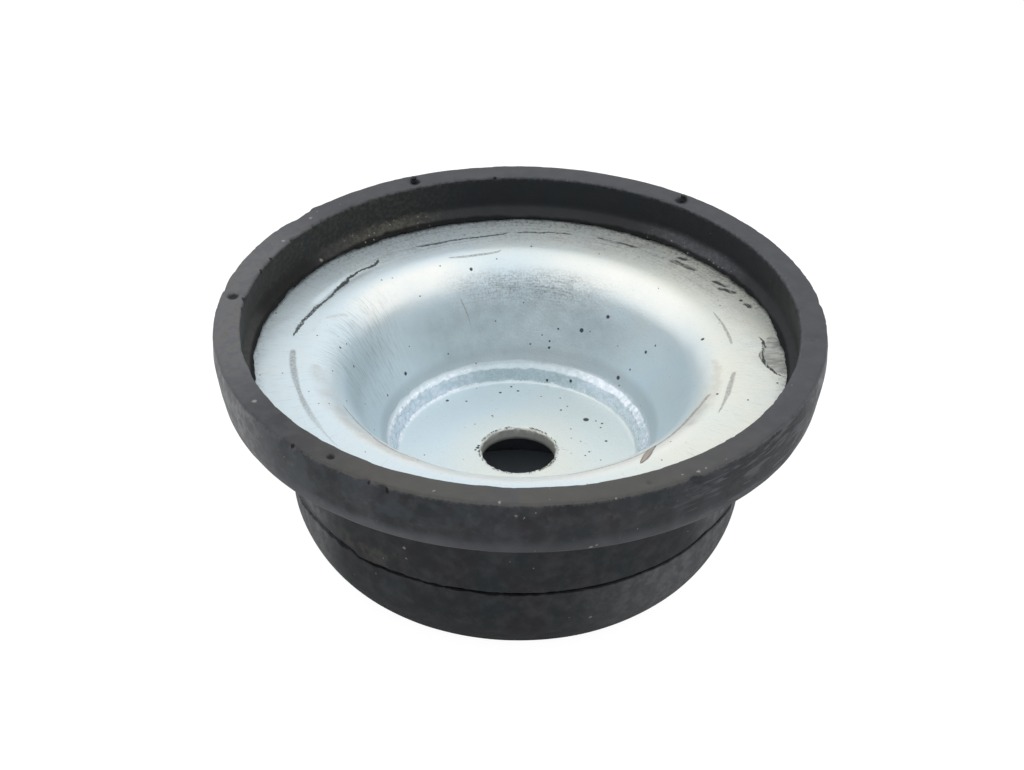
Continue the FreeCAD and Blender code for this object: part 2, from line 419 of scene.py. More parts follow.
def turning_tree():
    """Tree that turns a section about the rod axis and gives its free skin slow waves."""
    recipe = Recipe("turned section", Turns=WHOLE, Guide=NUMBER, Wave_Height=NUMBER, Wave_Size=NUMBER,
                    Seed=WHOLE, Material=MATERIAL)
    given = recipe.given
    section = recipe.node("GeometryNodeMeshToCurve", Mesh=given["Geometry"])
    circle = recipe.node("GeometryNodeCurvePrimitiveCircle", Resolution=given["Turns"], Radius=given["Guide"])
    skin = recipe.node("GeometryNodeCurveToMesh", Curve=circle, Profile_Curve=section)
    place = recipe.node("GeometryNodeInputPosition")
    offset = recipe.scaled((0.0137, 0.0211, 0.0173), given["Seed"])
    spot = recipe.vectors("ADD", recipe.scaled(place, recipe.maths("DIVIDE", 1.0, given["Wave Size"])), offset)
    wave = recipe.node("ShaderNodeTexNoise", Vector=spot, Scale=1.0, Detail=1.0)
    free = recipe.node("GeometryNodeInputNamedAttribute", {"data_type": "FLOAT"}, Name="free")
    height = recipe.maths("MULTIPLY", recipe.maths("SUBTRACT", wave, 0.5), given["Wave Height"])
    normal = recipe.node("GeometryNodeInputNormal")
    push = recipe.scaled(normal, recipe.maths("MULTIPLY", height, free))
    moved = recipe.node("GeometryNodeSetPosition", Geometry=skin, Offset=push)
    return recipe.finish(recipe.node("GeometryNodeSetShadeSmooth", Geometry=moved))


def turned_piece(name, section, turns, wave_height, wave_size, seed, material):
    """Closed mesh of a section turned about the rod axis."""
    start = section_mesh(name + "_section", section, GUIDE_RADIUS)
    return grown(name, turning_tree(), start, Turns=turns, Guide=GUIDE_RADIUS, Wave_Height=wave_height,
                 Wave_Size=wave_size, Seed=seed, Material=material)


def stub_tree():
    """Tree that stands torn stubs on the first places of a circle."""
    recipe = Recipe("vent stubs", Places=WHOLE, Stubs=WHOLE, First=NUMBER, Circle=NUMBER, Level=NUMBER,
                    Stub_Radius=NUMBER, Stub_Height=NUMBER, Seed=WHOLE, Material=MATERIAL)
    given = recipe.given
    circle = recipe.node("GeometryNodeMeshCircle", Vertices=given["Places"], Radius=given["Circle"])
    placed = recipe.node("GeometryNodeTransform", Geometry=circle,
                         Translation=recipe.node("ShaderNodeCombineXYZ", Z=given["Level"]),
                         Rotation=recipe.node("ShaderNodeCombineXYZ", Z=given["First"]))
    kept = recipe.node("FunctionNodeCompare", {"data_type": "INT", "operation": "LESS_THAN"},
                       i2=recipe.node("GeometryNodeInputIndex"), i3=given["Stubs"])
    slim = recipe.maths("MULTIPLY", given["Stub Radius"], 0.7)
    stub = recipe.node("GeometryNodeMeshCone", Vertices=16, Side_Segments=4, Fill_Segments=3, Radius_Top=slim,
                       Radius_Bottom=given["Stub Radius"], Depth=given["Stub Height"])
    lean = recipe.random((-0.3, -0.3, 0.0), (0.3, 0.3, 3.0), given["Seed"], 1)
    stood = recipe.node("GeometryNodeInstanceOnPoints", Points=placed, Selection=kept, Instance=stub, Rotation=lean)
    real = recipe.node("GeometryNodeRealizeInstances", Geometry=stood)
    spot = recipe.scaled(recipe.node("GeometryNodeInputPosition"), 1 / TEAR_SIZE)
    tear = recipe.node("ShaderNodeTexNoise", output=1, Vector=spot, Scale=1.0, Detail=1.0)
    push = recipe.scaled(recipe.vectors("SUBTRACT", tear, (0.5, 0.5, 0.5)), recipe.maths("MULTIPLY", slim, 1.1))
    return recipe.finish(recipe.node("GeometryNodeSetPosition", Geometry=real, Offset=push))


def burr_tree():
    """Tree that strews torn grains in clumps round a circle."""
    recipe = Recipe("burrs", Count=WHOLE, Circle=NUMBER, Level=NUMBER, Size=NUMBER, Seed=WHOLE, Material=MATERIAL)
    given = recipe.given
    circle = recipe.node("GeometryNodeMeshCircle", Vertices=given["Count"], Radius=given["Circle"])
    placed = recipe.node("GeometryNodeTransform", Geometry=circle,
                         Translation=recipe.node("ShaderNodeCombineXYZ", Z=given["Level"]))
    spot = recipe.scaled(recipe.node("GeometryNodeInputPosition"), 1 / CLUMP_SIZE)
    clump = recipe.node("ShaderNodeTexNoise", Vector=spot, Scale=1.0, Detail=2.0)
    ragged = recipe.maths("ADD", clump, recipe.random(-0.1, 0.1, given["Seed"], 1))
    kept = recipe.maths("GREATER_THAN", ragged, CLUMP_LIMIT)
    outward = recipe.node("ShaderNodeVectorMath", {"operation": "NORMALIZE"},
                          i0=recipe.node("GeometryNodeInputPosition"))
    spread = recipe.maths("MULTIPLY", recipe.random(-0.4, 4.5, given["Seed"], 2), given["Size"])
    strewn = recipe.node("GeometryNodeSetPosition", Geometry=placed, Offset=recipe.vectors(
        "MULTIPLY", recipe.scaled(outward, spread), (1.0, 1.0, 0.0)))
    grain = recipe.node("GeometryNodeMeshIcoSphere", Radius=given["Size"], Subdivisions=1)
    turned = recipe.random((0.0, 0.0, 0.0), (6.0, 6.0, 6.0), given["Seed"], 3)
    scale = recipe.random((0.3, 0.3, 0.2), (1.1, 0.9, 0.6), given["Seed"], 4)
    return recipe.finish(recipe.node("GeometryNodeInstanceOnPoints", Points=strewn, Selection=kept, Instance=grain,
                                     Rotation=turned, Scale=scale))


# Pushing and pulling of surfaces

# Numbers that scatter the cells of a lattice: a factor for each axis and the seed, shifts with factors, the greatest
CELL_FACTORS = (73856093, 19349663, 83492791)
SEED_FACTOR = 26544357
MIXERS = ((13, 1274126177), (11, 668265263))
HASH_LIMIT = 0x7FFFFFFF


def hashed(cells, seed):
    """Random values from -1 to 1 for cells of a lattice."""
    mixed = seed * SEED_FACTOR
    for axis, factor in enumerate(CELL_FACTORS):
        mixed = mixed ^ (cells[:, axis] * factor)
    for shift, factor in MIXERS:
        mixed = ((mixed ^ (mixed >> shift)) * factor) & HASH_LIMIT
    return mixed / (HASH_LIMIT >> 1) - 1


def rough(points, cell, seed):
    """Smooth random values from -1 to 1 at points, with features about one cell wide."""
    places = points / cell
    base = np.floor(places).astype(np.int64)
    share = places - base
    share = share * share * (3 - 2 * share)
    total = np.zeros(len(points))
    for corner in itertools.product((0, 1), repeat=3):
        weight = np.prod(np.where(np.array(corner) == 1, share, 1 - share), axis=1)
        total += weight * hashed(base + np.array(corner), seed)
    return total


def ease(value, low, high):
    """Smooth step from 0 at low to 1 at high."""
    share = np.clip((value - low) / (high - low), 0, 1)
    return share * share * (3 - 2 * share)


def bell(value, centre, width):
    """Bell curve of height 1."""
    return np.exp(-((value - centre) / width) ** 2)


def place_at(angle, radius, height=0.0):
    """Place at an angle in degrees, a radius and a height."""
    turn = math.radians(angle)
    return radius * math.cos(turn), radius * math.sin(turn), height


class Clay:
    """Points of a turned mesh in millimetres, for pushing and pulling its surface.

    Radius and angle are those before any push, height follows the pushes, and free is 0 where the skin stays as
    it is. Angles run from -90 to 270 degrees, so that the seam lies in front, where no mark crosses it.
    """

    def __init__(self, mesh):
        self.mesh = mesh
        flat = np.empty(len(mesh.vertices) * 3)
        mesh.vertices.foreach_get("co", flat)
        self.points = flat.reshape(-1, 3) / MM
        self.free = np.empty(len(mesh.vertices))
        mesh.attributes["free"].data.foreach_get("value", self.free)
        across, along = self.points[:, 0], self.points[:, 1]
        self.radius = np.hypot(across, along)
        self.angle = np.degrees(np.arctan2(-across, along)) + 90
        self.height = self.points[:, 2]
        self.outward = self.points[:, :2] / self.radius[:, None]

    def out(self, distance):
        """Moves points away from the rod axis."""
        self.points[:, :2] += self.outward * distance[:, None]

    def up(self, distance):
        """Moves points up."""
        self.points[:, 2] += distance

    def arc(self, centre):
        """Distance in degrees from an angle, the short way round."""
        return (self.angle - centre + 180) % 360 - 180

    def spot(self, angle, radius, height, size):
        """Share from 1 at a place to 0 away from it."""
        away = np.linalg.norm(self.points - np.array(place_at(angle, radius, height)), axis=1)
        return bell(away, 0, size)

    def store(self):
        """Writes the points back to the mesh."""
        self.mesh.vertices.foreach_set("co", (self.points * MM).ravel())
        self.mesh.update()


def vent_angles(trim):
    """Angles of the moulding vents in degrees."""
    return [math.degrees(trim.first_vent) + index * 360 / trim.vents for index in range(trim.vents)]


# Height of the slit against its level, in millimetres by angle
SLIT_RUN = (
    (-44, 0.0), (-36, 0.5), (-28, -0.2), (-19, -1.2), (-8, -1.5), (30, -0.4), (90, 0.0), (150, -0.4), (190, -1.7),
    (199, -1.1), (208, -0.2), (217, 0.2), (225.6, 0.25), (228.6, -0.55), (233, -0.4), (241, -0.05), (262, 0.1),
)

# Nicks and pits in the rubber: angle, radius, height, size, how far out, how far up
RIM_NICKS = (
    (225.0, 57.6, 47.6, 0.9, -0.5, -0.35),
    (226.6, 57.5, 47.9, 0.6, 0.3, 0.25),
    (228.4, 57.5, 47.8, 0.8, -0.25, -0.45),
    (243.0, 57.4, 47.8, 0.8, -0.5, -0.7),
    (244.6, 57.4, 48.0, 0.6, 0.3, 0.45),
    (246.0, 57.6, 47.1, 0.9, -0.8, -0.1),
    (247.8, 57.0, 48.0, 0.7, 0.2, 0.25),
    (301.5, 57.4, 47.6, 1.1, -0.6, -0.3),
    (308.0, 57.4, 47.8, 0.7, 0.2, 0.1),
    (174.0, 52.5, 47.9, 1.0, 0.5, -0.4),
    (171.0, 57.2, 48.0, 0.9, -0.3, -0.3),
    (142.0, 57.4, 47.9, 2.4, -0.40, -0.1),
    (138.4, 57.5, 47.9, 0.7, -0.25, -0.1),
    (136.6, 57.4, 48.0, 1.2, 0.20, 0.05),
    (7.0, 57.3, 48.0, 1.2, -0.25, -0.2),
)


def shape_slit(clay, slit):
    """Makes the moulding slit's lips ragged, opens it here and there, and lets it run up and down."""
    outside = clay.free * ease(clay.radius, 40.3, 41.3)
    below = clay.height < slit
    mouth = outside * bell(clay.height, slit, 1.3) * ease(clay.radius, 41.6, 43)
    angles, heights = zip(*SLIT_RUN)
    run = np.interp(clay.angle, angles, heights, period=360)
    jag = 0.22 * rough(clay.points, 0.8, 21) + 0.2 * rough(clay.points, 2.6, 22) + 0.12 * rough(clay.points, 8, 23)
    teeth = np.maximum(0, rough(clay.points * (1, 1, 0.1), 1.3, 25) - 0.35) * 1.1
    gape = 0.55 * ease(clay.arc(212), 14.5, 10) * ease(clay.arc(212), -20, -8) + 0.5 * bell(clay.arc(338), 0, 9)
    calm = 0.45 + 0.55 * ease(clay.arc(226), 62, 40) * ease(clay.arc(226), -60, -40)
    clay.up(mouth * np.where(below, jag * calm + teeth * calm * 0.6 - gape, (0.6 * jag - teeth * 0.4) * calm))
    clay.out(mouth * np.where(below, 0.1 + 0.12 * rough(clay.points, 1.2, 24), -0.15))
    clay.up(outside * bell(clay.height, slit, 4.5) * run)


def shape_lip(clay, flange):
    """Makes the thin lip over the plate's edge wavy and lumpy."""
    lip = clay.free * ease(clay.radius, 52.4, 51.2) * ease(clay.radius, 49.5, 50) * ease(clay.height, 38, 38.4)
    lip *= ease(clay.height, flange + 2.6, flange + 1.2)
    level = clay.points * (1, 1, 0.2)
    clay.out(lip * (0.22 * rough(level, 2.2, 31) + 0.18 * rough(level, 0.9, 32) + 0.35 * rough(level, 9, 33)))
    lumps = lip * np.maximum(0, rough(clay.points, 1.3, 34)) * 0.5
    lumpy = ease(np.abs(clay.arc(43)), 30, 12) + ease(np.abs(clay.arc(142)), 34, 15)
    clay.up(lumps * (0.3 + lumpy))


def shape_rim(clay, rim):
    """Wears the rim's two top edges and its top."""
    top = clay.free * ease(clay.height, rim - 1.2, rim - 0.2)
    outer_edge = top * ease(clay.radius, 56.2, 57.4)
    inner_edge = top * ease(clay.radius, 53.6, 52.6)
    chips = np.maximum(0, rough(clay.points, 0.9, 47) - 0.35) * (0.3 + ease(np.abs(clay.arc(150)), 60, 25))
    clay.out(outer_edge * (0.09 * rough(clay.points, 0.9, 41) + 0.05 * rough(clay.points, 4, 42) - 0.1))
    clay.out(inner_edge * (0.05 * rough(clay.points, 0.9, 43) + 0.12 * rough(clay.points, 3, 44) + 0.7 * chips))
    clay.up(top * (0.05 * rough(clay.points, 2.5, 45) + 0.08 * rough(clay.points, 11, 46)) - inner_edge * chips * 0.5)


def shape_vents(clay, rim, trim):
    """Tears the moulding vents, but for those that keep their stub."""
    circle = trim.vent_circle / MM
    vents = vent_angles(trim)
    for angle in vents[trim.stubs:]:
        dent = clay.spot(angle, circle, rim, 1.2)
        crater = clay.spot(angle, circle, rim, 1.7)
        clay.up(clay.free * (0.2 * crater - 0.75 * dent))
    for angle in vents[:trim.stubs]:
        clay.up(-0.6 * clay.free * clay.spot(angle, circle - 0.3, rim, 1.1))


def shape_rubber(mesh, sizes, trim):
    """Gives the moulding its ragged slit, lip, worn rim, torn vents, nicks, scuffs and shifted body."""
    clay = Clay(mesh)
    slit = (sizes.slit_level + sizes.slit_height / 2) / MM
    rim = RIM_LEVEL / MM
    shape_slit(clay, slit)
    shape_lip(clay, PLATE_HIGH.z / MM)
    shape_rim(clay, rim)
    shape_vents(clay, rim, trim)
    for angle, radius, height, size, outward, upward in RIM_NICKS:
        share = clay.free * clay.spot(angle, radius, height, size)
        clay.out(share * outward)
        clay.up(share * upward)
    scuffs = 0.06 * rough(clay.points * (0.5, 0.5, 1.2), 1.6, 51) * ease(clay.height, 30, 36)
    clay.out(clay.free * scuffs * ease(clay.radius, 55, 56.5))
    clay.points[:, 0] -= sizes.body_shift / MM * ease(clay.height, 31, 19) * ease(clay.radius, 21.5, 30)
    swell = 0.2 * ease(clay.height, slit, 10) * ease(clay.radius, 34, 40)
    clay.out(clay.free * swell)
    clay.store()


# How far the bowl sits off the rim's axis, in millimetres
BOWL_SHIFT = 0.35


def shape_plate(mesh):
    """Gives the dish its crinkled step, off-centre bowl, scraped dent and rolled bore edge."""
    clay = Clay(mesh)
    step = clay.free * ease(clay.radius, 22.7, 23.5) * ease(clay.radius, 26.2, 25.2) * ease(clay.height, 22.4, 21)
    crinkle = 0.15 * rough(clay.points, 0.7, 61) + 0.17 * rough(clay.points, 1.5, 62)
    clay.up(step * crinkle)
    clay.out(step * crinkle * 0.8)

    clay.points[:, 0] -= BOWL_SHIFT * ease(clay.radius, 44, 36) * ease(clay.radius, 8.5, 15)
    wall = clay.free * ease(clay.radius, 26, 28) * ease(clay.radius, 44, 38)
    clay.out(wall * (0.1 * rough(clay.points, 6, 68) + 0.05 * rough(clay.points, 2.2, 69)))
    bore = clay.free * ease(clay.radius, 8.2, 7.4)
    clay.out(bore * (0.16 * rough(clay.points, 0.6, 63) + 0.12 * rough(clay.points, 1.8, 64)))
    clay.up(bore * 0.08 * rough(clay.points, 0.7, 65))

    scrape = clay.free * clay.spot(3, 48, 38.7, 2.6)
    clay.up(scrape * (-0.22 + 0.2 * rough(clay.points * (0.5, 1, 1), 0.8, 66)))
    gouge = clay.free * bell(clay.radius, 43.6, 0.7) * ease(np.abs(clay.arc(146)), 14, 8)
    clay.up(-0.25 * gouge)
    flange = clay.free * ease(clay.radius, 40, 44)
    clay.up(flange * 0.03 * rough(clay.points, 1.3, 67))
    clay.store()


# Finishes

# Least half width of a stroke, the radius at which drawn noise has its stated length, and how much of the height
# counts towards its width
THINNEST_STROKE = 0.04
DRAWN_RADIUS = 45
DRAWN_SLOPE = 0.7

# How much narrower marks look from above on the bowl's wall and step, by radius
WALL_RADII, WALL_STEEPNESS = (25.5, 33), 2.1
STEP_RADII, STEP_STEEPNESS = (23.3, 24.3), 3.2

# Tones beside those of the panel
# Painted glints on the crinkled step
PAINTED_GLINT = tone("f3f5ff")
SHEARED_STEEL = tone("b5ada0")
COOL_RUBBER = tone("1b2225")
INNER_RUBBER = tone("151518")
# Painted light: grey that lifts the shaded pocket under the plate
POCKET_PAINTED_LIGHT = tone("6c7076")
TEAL_RUBBER = tone("39444a")
# Painted sheen, with lighter scuffs, on the rubber's sides
PALE_SHEEN_AND_SCUFFS = tone("909090")
# Painted shade in the crevice under the lip, the slit and the pits
CREVICE_SHADE = tone("0c0c0e")
FLECK = tone("a9a9a2")


class Wire:
    """One output in a material's tree. Arithmetic on wires adds Math nodes."""

    def __init__(self, finish, socket):
        self.finish = finish
        self.socket = socket

    def maths(self, operation, *values):
        """A Math node on this wire and others."""
        return self.finish.node("ShaderNodeMath", {"operation": operation}, self, *values)

    def __add__(self, other):
        return self.maths("ADD", other)

    def __sub__(self, other):
        return self.maths("SUBTRACT", other)

    def __rsub__(self, other):
        return self.finish.node("ShaderNodeMath", {"operation": "SUBTRACT"}, other, self)

    def __mul__(self, other):
        return self.maths("MULTIPLY", other)

    def __truediv__(self, other):
        return self.maths("DIVIDE", other)

    def __neg__(self):
        return self.maths("MULTIPLY", -1.0)

    __radd__ = __add__
    __rmul__ = __mul__

    def greatest(self, other):
        """The greater of two values."""
        return self.maths("MAXIMUM", other)

    def least(self, other):
        """The lesser of two values."""
        return self.maths("MINIMUM", other)

    def size(self):
        """The value without its sign."""
        return self.maths("ABSOLUTE")

    def rise(self, low, high):
        """Smooth step from 0 at low to 1 at high, where low may be the greater one."""
        settings = {"interpolation_type": "SMOOTHSTEP"}
        if low < high:
            return self.finish.node("ShaderNodeMapRange", settings, self, low, high, 0.0, 1.0)
        return self.finish.node("ShaderNodeMapRange", settings, self, high, low, 1.0, 0.0)

    def within(self, low, high, soft):
        """1 between two values and 0 outside them, with soft ends."""
        return self.rise(low - soft, low + soft) * self.rise(high + soft, high - soft)


def joined(marks):
    """The greatest of several wires."""
    return functools.reduce(Wire.greatest, marks)


class Finish:
    """A material's node tree, and the one way that its nodes are made.

    Each node is made after those that feed it, because a large tree can't be rendered otherwise.
    """

    def __init__(self, name, tree=None):
        if tree is None:
            self.material = bpy.data.materials.new(name)
            self.material.use_nodes = True
            tree = self.material.node_tree
        self.tree = tree
        self.tree.nodes.clear()
        coordinates = self.node("ShaderNodeTexCoord", output="Object")
        self.place = self.vectors("SCALE", coordinates, Scale=1 / MM)
        self.across, self.along, self.height = (
            self.node("ShaderNodeSeparateXYZ", None, self.place, output=axis) for axis in "XYZ")
        self.radius = (self.across * self.across + self.along * self.along).maths("SQRT")
        self.angle = (-self.across).maths("ARCTAN2", self.along) * math.degrees(1) + 90

    def feed(self, socket, value):
        """Links a wire to a socket, or sets the socket's own value."""
        if isinstance(value, Wire):
            self.tree.links.new(value.socket, socket)
        elif socket.type == "RGBA" and len(value) == 3:
            socket.default_value = (*value, 1)
        else:
            socket.default_value = value

    def node(self, kind, settings=None, *values, output=0, **named):
        """Adds a node: settings first, then its sockets by order or by name. Returns one output."""
        made = self.tree.nodes.new(kind)
        for key, value in (settings or {}).items():
            setattr(made, key, value)
        for index, value in enumerate(values):
            self.feed(made.inputs[index], value)
        for key, value in named.items():
            self.feed(made.inputs[key.replace("_", " ")], value)
        return Wire(self, made.outputs[output]) if len(made.outputs) else made

    def vectors(self, operation, *values, **named):
        """A Vector Math node."""
        return self.node("ShaderNodeVectorMath", {"operation": operation}, *values, **named)

    def distance(self, operation, *values):
        """A Vector Math node that gives a number."""
        return self.node("ShaderNodeVectorMath", {"operation": operation}, *values, output="Value")

    def blend(self, share, first, second):
        """Colour between two colours."""
        made = self.tree.nodes.new("ShaderNodeMix")
        made.data_type = "RGBA"
        self.feed(made.inputs[0], share)
        self.feed(made.inputs[6], first)
        self.feed(made.inputs[7], second)
        return Wire(self, made.outputs[2])

    def at(self, x, y, z):
        """Vector of three values."""
        return self.node("ShaderNodeCombineXYZ", None, x, y, z)

    def noise(self, size, detail=2.0, roughness=0.5, place=None, seed=0):
        """Cloudy values from 0 to 1 with features about as wide as the size in millimetres."""
        spot = self.vectors("ADD", place or self.place, (seed * 17.3, seed * 9.1, seed * 5.7))
        return self.node("ShaderNodeTexNoise", None, Vector=spot, Scale=1 / size, Detail=detail, Roughness=roughness)

    def stretched(self, *factors):
        """Place with each axis times a factor."""
        return self.vectors("MULTIPLY", self.place, factors)

    def drawn(self, around, across, seed, roughness=0.6):
        """Cloudy values with features so long round the rod axis, and so wide across, in millimetres."""
        turned = self.vectors("NORMALIZE", self.at(self.across, self.along, 0.0))
        ring = self.vectors("SCALE", turned, Scale=DRAWN_RADIUS / around)
        down_slope = self.radius + self.height * DRAWN_SLOPE
        place = self.vectors("ADD", ring, self.at(0.0, 0.0, down_slope / across))
        return self.noise(1.0, 2.0, roughness, place, seed)

    def patch(self, radii, angles):
        """1 between two radii and two angles, each pair given with the softness of its ends."""
        return self.radius.within(*radii) * self.angle.within(*angles)

    def specks(self, cell, size, share, seed=0.0):
        """Small round spots, in a share of the cells of a lattice."""
        spot = self.vectors("ADD", self.place, (seed * 13.7, seed * 3.1, seed * 7.9))
        cells = self.tree.nodes.new("ShaderNodeTexVoronoi")
        self.feed(cells.inputs["Vector"], spot)
        self.feed(cells.inputs["Scale"], 1 / cell)
        distance = Wire(self, cells.outputs["Distance"]) * cell
        chance = self.node("ShaderNodeSeparateColor", None, Wire(self, cells.outputs["Color"]))
        return distance.rise(size * 1.3, size * 0.7) * chance.rise(share, share * 0.8)

    def follow(self, share, points, column):
        """Value that goes through a column of (angle, ...) points, at a share of the way round."""
        first, last = points[0][0], points[-1][0]
        values = [point[column] for point in points]
        low, span = min(values), max(max(values) - min(values), 0.001)
        made = self.tree.nodes.new("ShaderNodeFloatCurve")
        line = made.mapping.curves[0].points
        while len(line) < len(points):
            line.new(0.5, 0.5)
        for dot, point in zip(line, points):
            dot.location = ((point[0] - first) / (last - first), (point[column] - low) / span)
        made.mapping.update()
        self.feed(made.inputs["Value"], share)
        return Wire(self, made.outputs[0]) * span + low

    def stroke(self, points, jags, soft=0.5):
        """Ragged mark through (angle, radius, half width) points, which go round the rod axis."""
        share = (self.angle - points[0][0]) / (points[-1][0] - points[0][0])
        away = (self.radius + jags - self.follow(share, points, 1)).size()
        width = self.follow(share, points, 2).greatest(THINNEST_STROKE)
        mark = (away / width).rise(1 + soft, 1 - soft)
        return mark * self.angle.within(points[0][0], points[-1][0], 0.6)

    def strokes(self, many, jags, soft=0.5):
        """All of several ragged marks."""
        return joined(self.stroke(points, jags, soft) for points in many)

    def dot(self, angle, radius, size):
        """Round spot at an angle and a radius seen from above, squeezed across where the face is steep."""
        squeeze = 1.0
        for (low, high), steepness in ((WALL_RADII, WALL_STEEPNESS), (STEP_RADII, STEP_STEEPNESS)):
            if low < radius < high:
                squeeze = steepness
        spot = self.node("ShaderNodeMapping", {"vector_type": "TEXTURE"}, self.at(self.across, self.along, 0.0),
                         place_at(angle, radius), (0.0, 0.0, math.radians(angle)), (size / squeeze, size, 1.0))
        return self.distance("LENGTH", spot).rise(1.15, 0.7)

    def spots(self, places, ragged):
        """Ragged spots at (angle, radius, height, size) places."""
        return joined((self.distance("DISTANCE", self.place, place_at(*place)) + ragged).rise(size * 1.2, size * 0.6)
                      for *place, size in places)

    def bump(self, height, strength, distance):
        """Normal from a height in millimetres."""
        return self.node("ShaderNodeBump", None, Strength=strength, Distance=distance * MM, Height=height)

    def surface(self, **values):
        """Ends the tree with a Principled shader."""
        shader = self.node("ShaderNodeBsdfPrincipled", None, **values)
        self.node("ShaderNodeOutputMaterial", None, shader)
        return self.material


# Black scrapes on the flange, as (angle, radius, half width) points
FLANGE_SCRAPES = (
    ((129.6, 45.5, 0.22), (131, 44.3, 0.32), (133, 43.8, 0.28), (137, 44.3, 0.26), (141, 44.1, 0.34),
     (142.6, 43.4, 0.60), (146.6, 43.4, 0.46), (150.8, 42.8, 0.36), (156.6, 43.2, 0.42), (163.3, 43.5, 0.40),
     (171.5, 44.0, 0.15)),
    ((93.6, 45.7, 0.20), (98, 44.9, 0.24), (103.6, 44.6, 0.20), (111.8, 44.6, 0.22), (118.4, 45.7, 0.18)),
    ((77.0, 46.6, 0.16), (84, 46.3, 0.20), (91.4, 45.9, 0.16)),
    ((59.0, 47.4, 0.42), (65.7, 46.8, 0.34), (70.6, 46.9, 0.22)),
    ((42.2, 47.8, 0.34), (46.2, 47.3, 0.60), (50.0, 47.0, 0.36)),
    ((46.6, 49.6, 0.22), (48.3, 49.0, 0.46), (49.6, 48.6, 0.25)),
    ((32.0, 49.0, 0.28), (34.4, 48.2, 0.50), (36.6, 47.5, 0.28)),
    ((29.0, 48.9, 0.30), (31.6, 47.7, 0.62), (33.4, 47.0, 0.28)),
    ((22.2, 49.1, 0.24), (23.4, 48.9, 0.46), (24.6, 48.6, 0.24)),
    ((-5.8, 50.2, 0.26), (-3.9, 47.9, 0.36), (-0.5, 46.5, 0.45), (2.7, 46.1, 0.50), (5.9, 47.1, 0.34),
     (10.0, 46.7, 0.20)),
)

# Rubbed patch on the right of the flange
FLANGE_PATCH = ((-5.0, 50.0, 0.5), (-2.0, 48.9, 1.7), (2.5, 48.4, 2.2), (7.0, 49.0, 1.6), (10.0, 49.0, 0.4))

# Grey brown scuffs
FLANGE_SCUFFS = (
    ((8.0, 41.0, 0.08), (12.0, 41.2, 0.30), (17.0, 41.3, 0.26), (24.0, 41.4, 0.08)),
    ((-25.0, 40.5, 0.08), (-19.0, 40.3, 0.28), (-12.0, 40.3, 0.46), (-5.0, 41.0, 0.08)),
    ((177.6, 43.3, 0.35), (184.0, 43.0, 0.62), (189.4, 42.8, 0.60), (196.0, 42.7, 0.40), (203.0, 42.8, 0.52),
     (209.6, 43.0, 0.50), (214.0, 43.2, 0.26), (221.6, 43.7, 0.12)),
    ((0.2, 9.9, 0.10), (1.6, 9.2, 0.16), (3.4, 8.5, 0.10)),
    ((-10.4, 51.0, 0.40), (-8.5, 51.4, 0.60), (-7.0, 51.4, 0.40)),
    ((96.0, 39.2, 0.20), (104.0, 38.4, 0.30), (112.0, 38.9, 0.15)),
)

# Thin brown lines along the near crest of the bowl's lip, and short cracks
LIP_LINES = (
    ((203, 35.5, 0.10), (208, 35.3, 0.18), (214, 35.2, 0.26), (221, 35.5, 0.28), (226, 36.2, 0.34),
     (233, 36.2, 0.26), (240, 35.8, 0.18), (252, 36.6, 0.12)),
    ((-76, 36.3, 0.12), (-62, 36.3, 0.20), (-50, 36.1, 0.22), (-40, 35.9, 0.26), (-31, 35.7, 0.32),
     (-23, 36.1, 0.30), (-16, 37.0, 0.18)),
    ((109.8, 29.4, 0.16), (110.6, 30.6, 0.22), (112.0, 31.8, 0.18)),
)

# Wide pale brown smears beside them
LIP_SMEARS = (
    ((184, 38.6, 0.8), (196, 38.0, 1.4), (210, 37.6, 1.5), (226, 37.6, 1.2), (242, 37.0, 0.5)),
    ((-34, 36.8, 0.5), (-24, 37.3, 1.0), (-12, 37.4, 0.9), (2, 36.8, 0.4)),
    ((155.5, 37.0, 0.3), (158.1, 38.5, 0.45), (161.2, 39.8, 0.2)),
)

# Leaf-shaped gouge on the near crest, and its bare middle
GOUGE = ((-56.6, 39.4, 0.10), (-54.8, 38.7, 0.55), (-52.0, 37.6, 0.80), (-49.3, 36.6, 0.62), (-46.2, 35.9, 0.15))
GOUGE_MIDDLE = (
    (-56.2, 39.2, 0.05), (-54.8, 38.7, 0.30), (-52.0, 37.5, 0.52), (-49.3, 36.6, 0.38), (-47.0, 36.0, 0.08))

# Black dots on the plating: angle, radius, size
PLATE_DOTS = (
    (38.0, 16.95, 0.62), (41.1, 26.2, 0.44), (63.9, 23.7, 0.34), (90.6, 20.1, 0.28), (94.2, 21.6, 0.26),
    (101.0, 19.8, 0.30), (131.3, 21.8, 0.36), (64.7, 29.1, 0.46), (55.4, 31.0, 0.42), (106.4, 35.5, 0.34),
    (145.4, 27.5, 0.40), (77.2, 26.9, 0.28), (77.3, 27.5, 0.22), (13.7, 36.3, 0.36), (33.2, 29.8, 0.36),
    (-16.3, 38.4, 0.28), (26.0, 48.4, 0.40), (10.9, 17.5, 0.30), (76.1, 23.5, 0.26), (36.9, 27.5, 0.22),
    (30.2, 30.9, 0.22), (74.4, 28.8, 0.22), (170.4, 35.1, 0.24), (29.1, 18.9, 0.26), (33.2, 18.3, 0.20),
    (25.7, 18.0, 0.22), (-1.2, 13.8, 0.22), (-6.6, 13.1, 0.20), (58.3, 16.0, 0.24), (57.0, 17.8, 0.18),
    (115.0, 12.5, 0.22), (176.0, 8.0, 0.40), (171.0, 7.9, 0.30), (181.0, 8.4, 0.26),
)


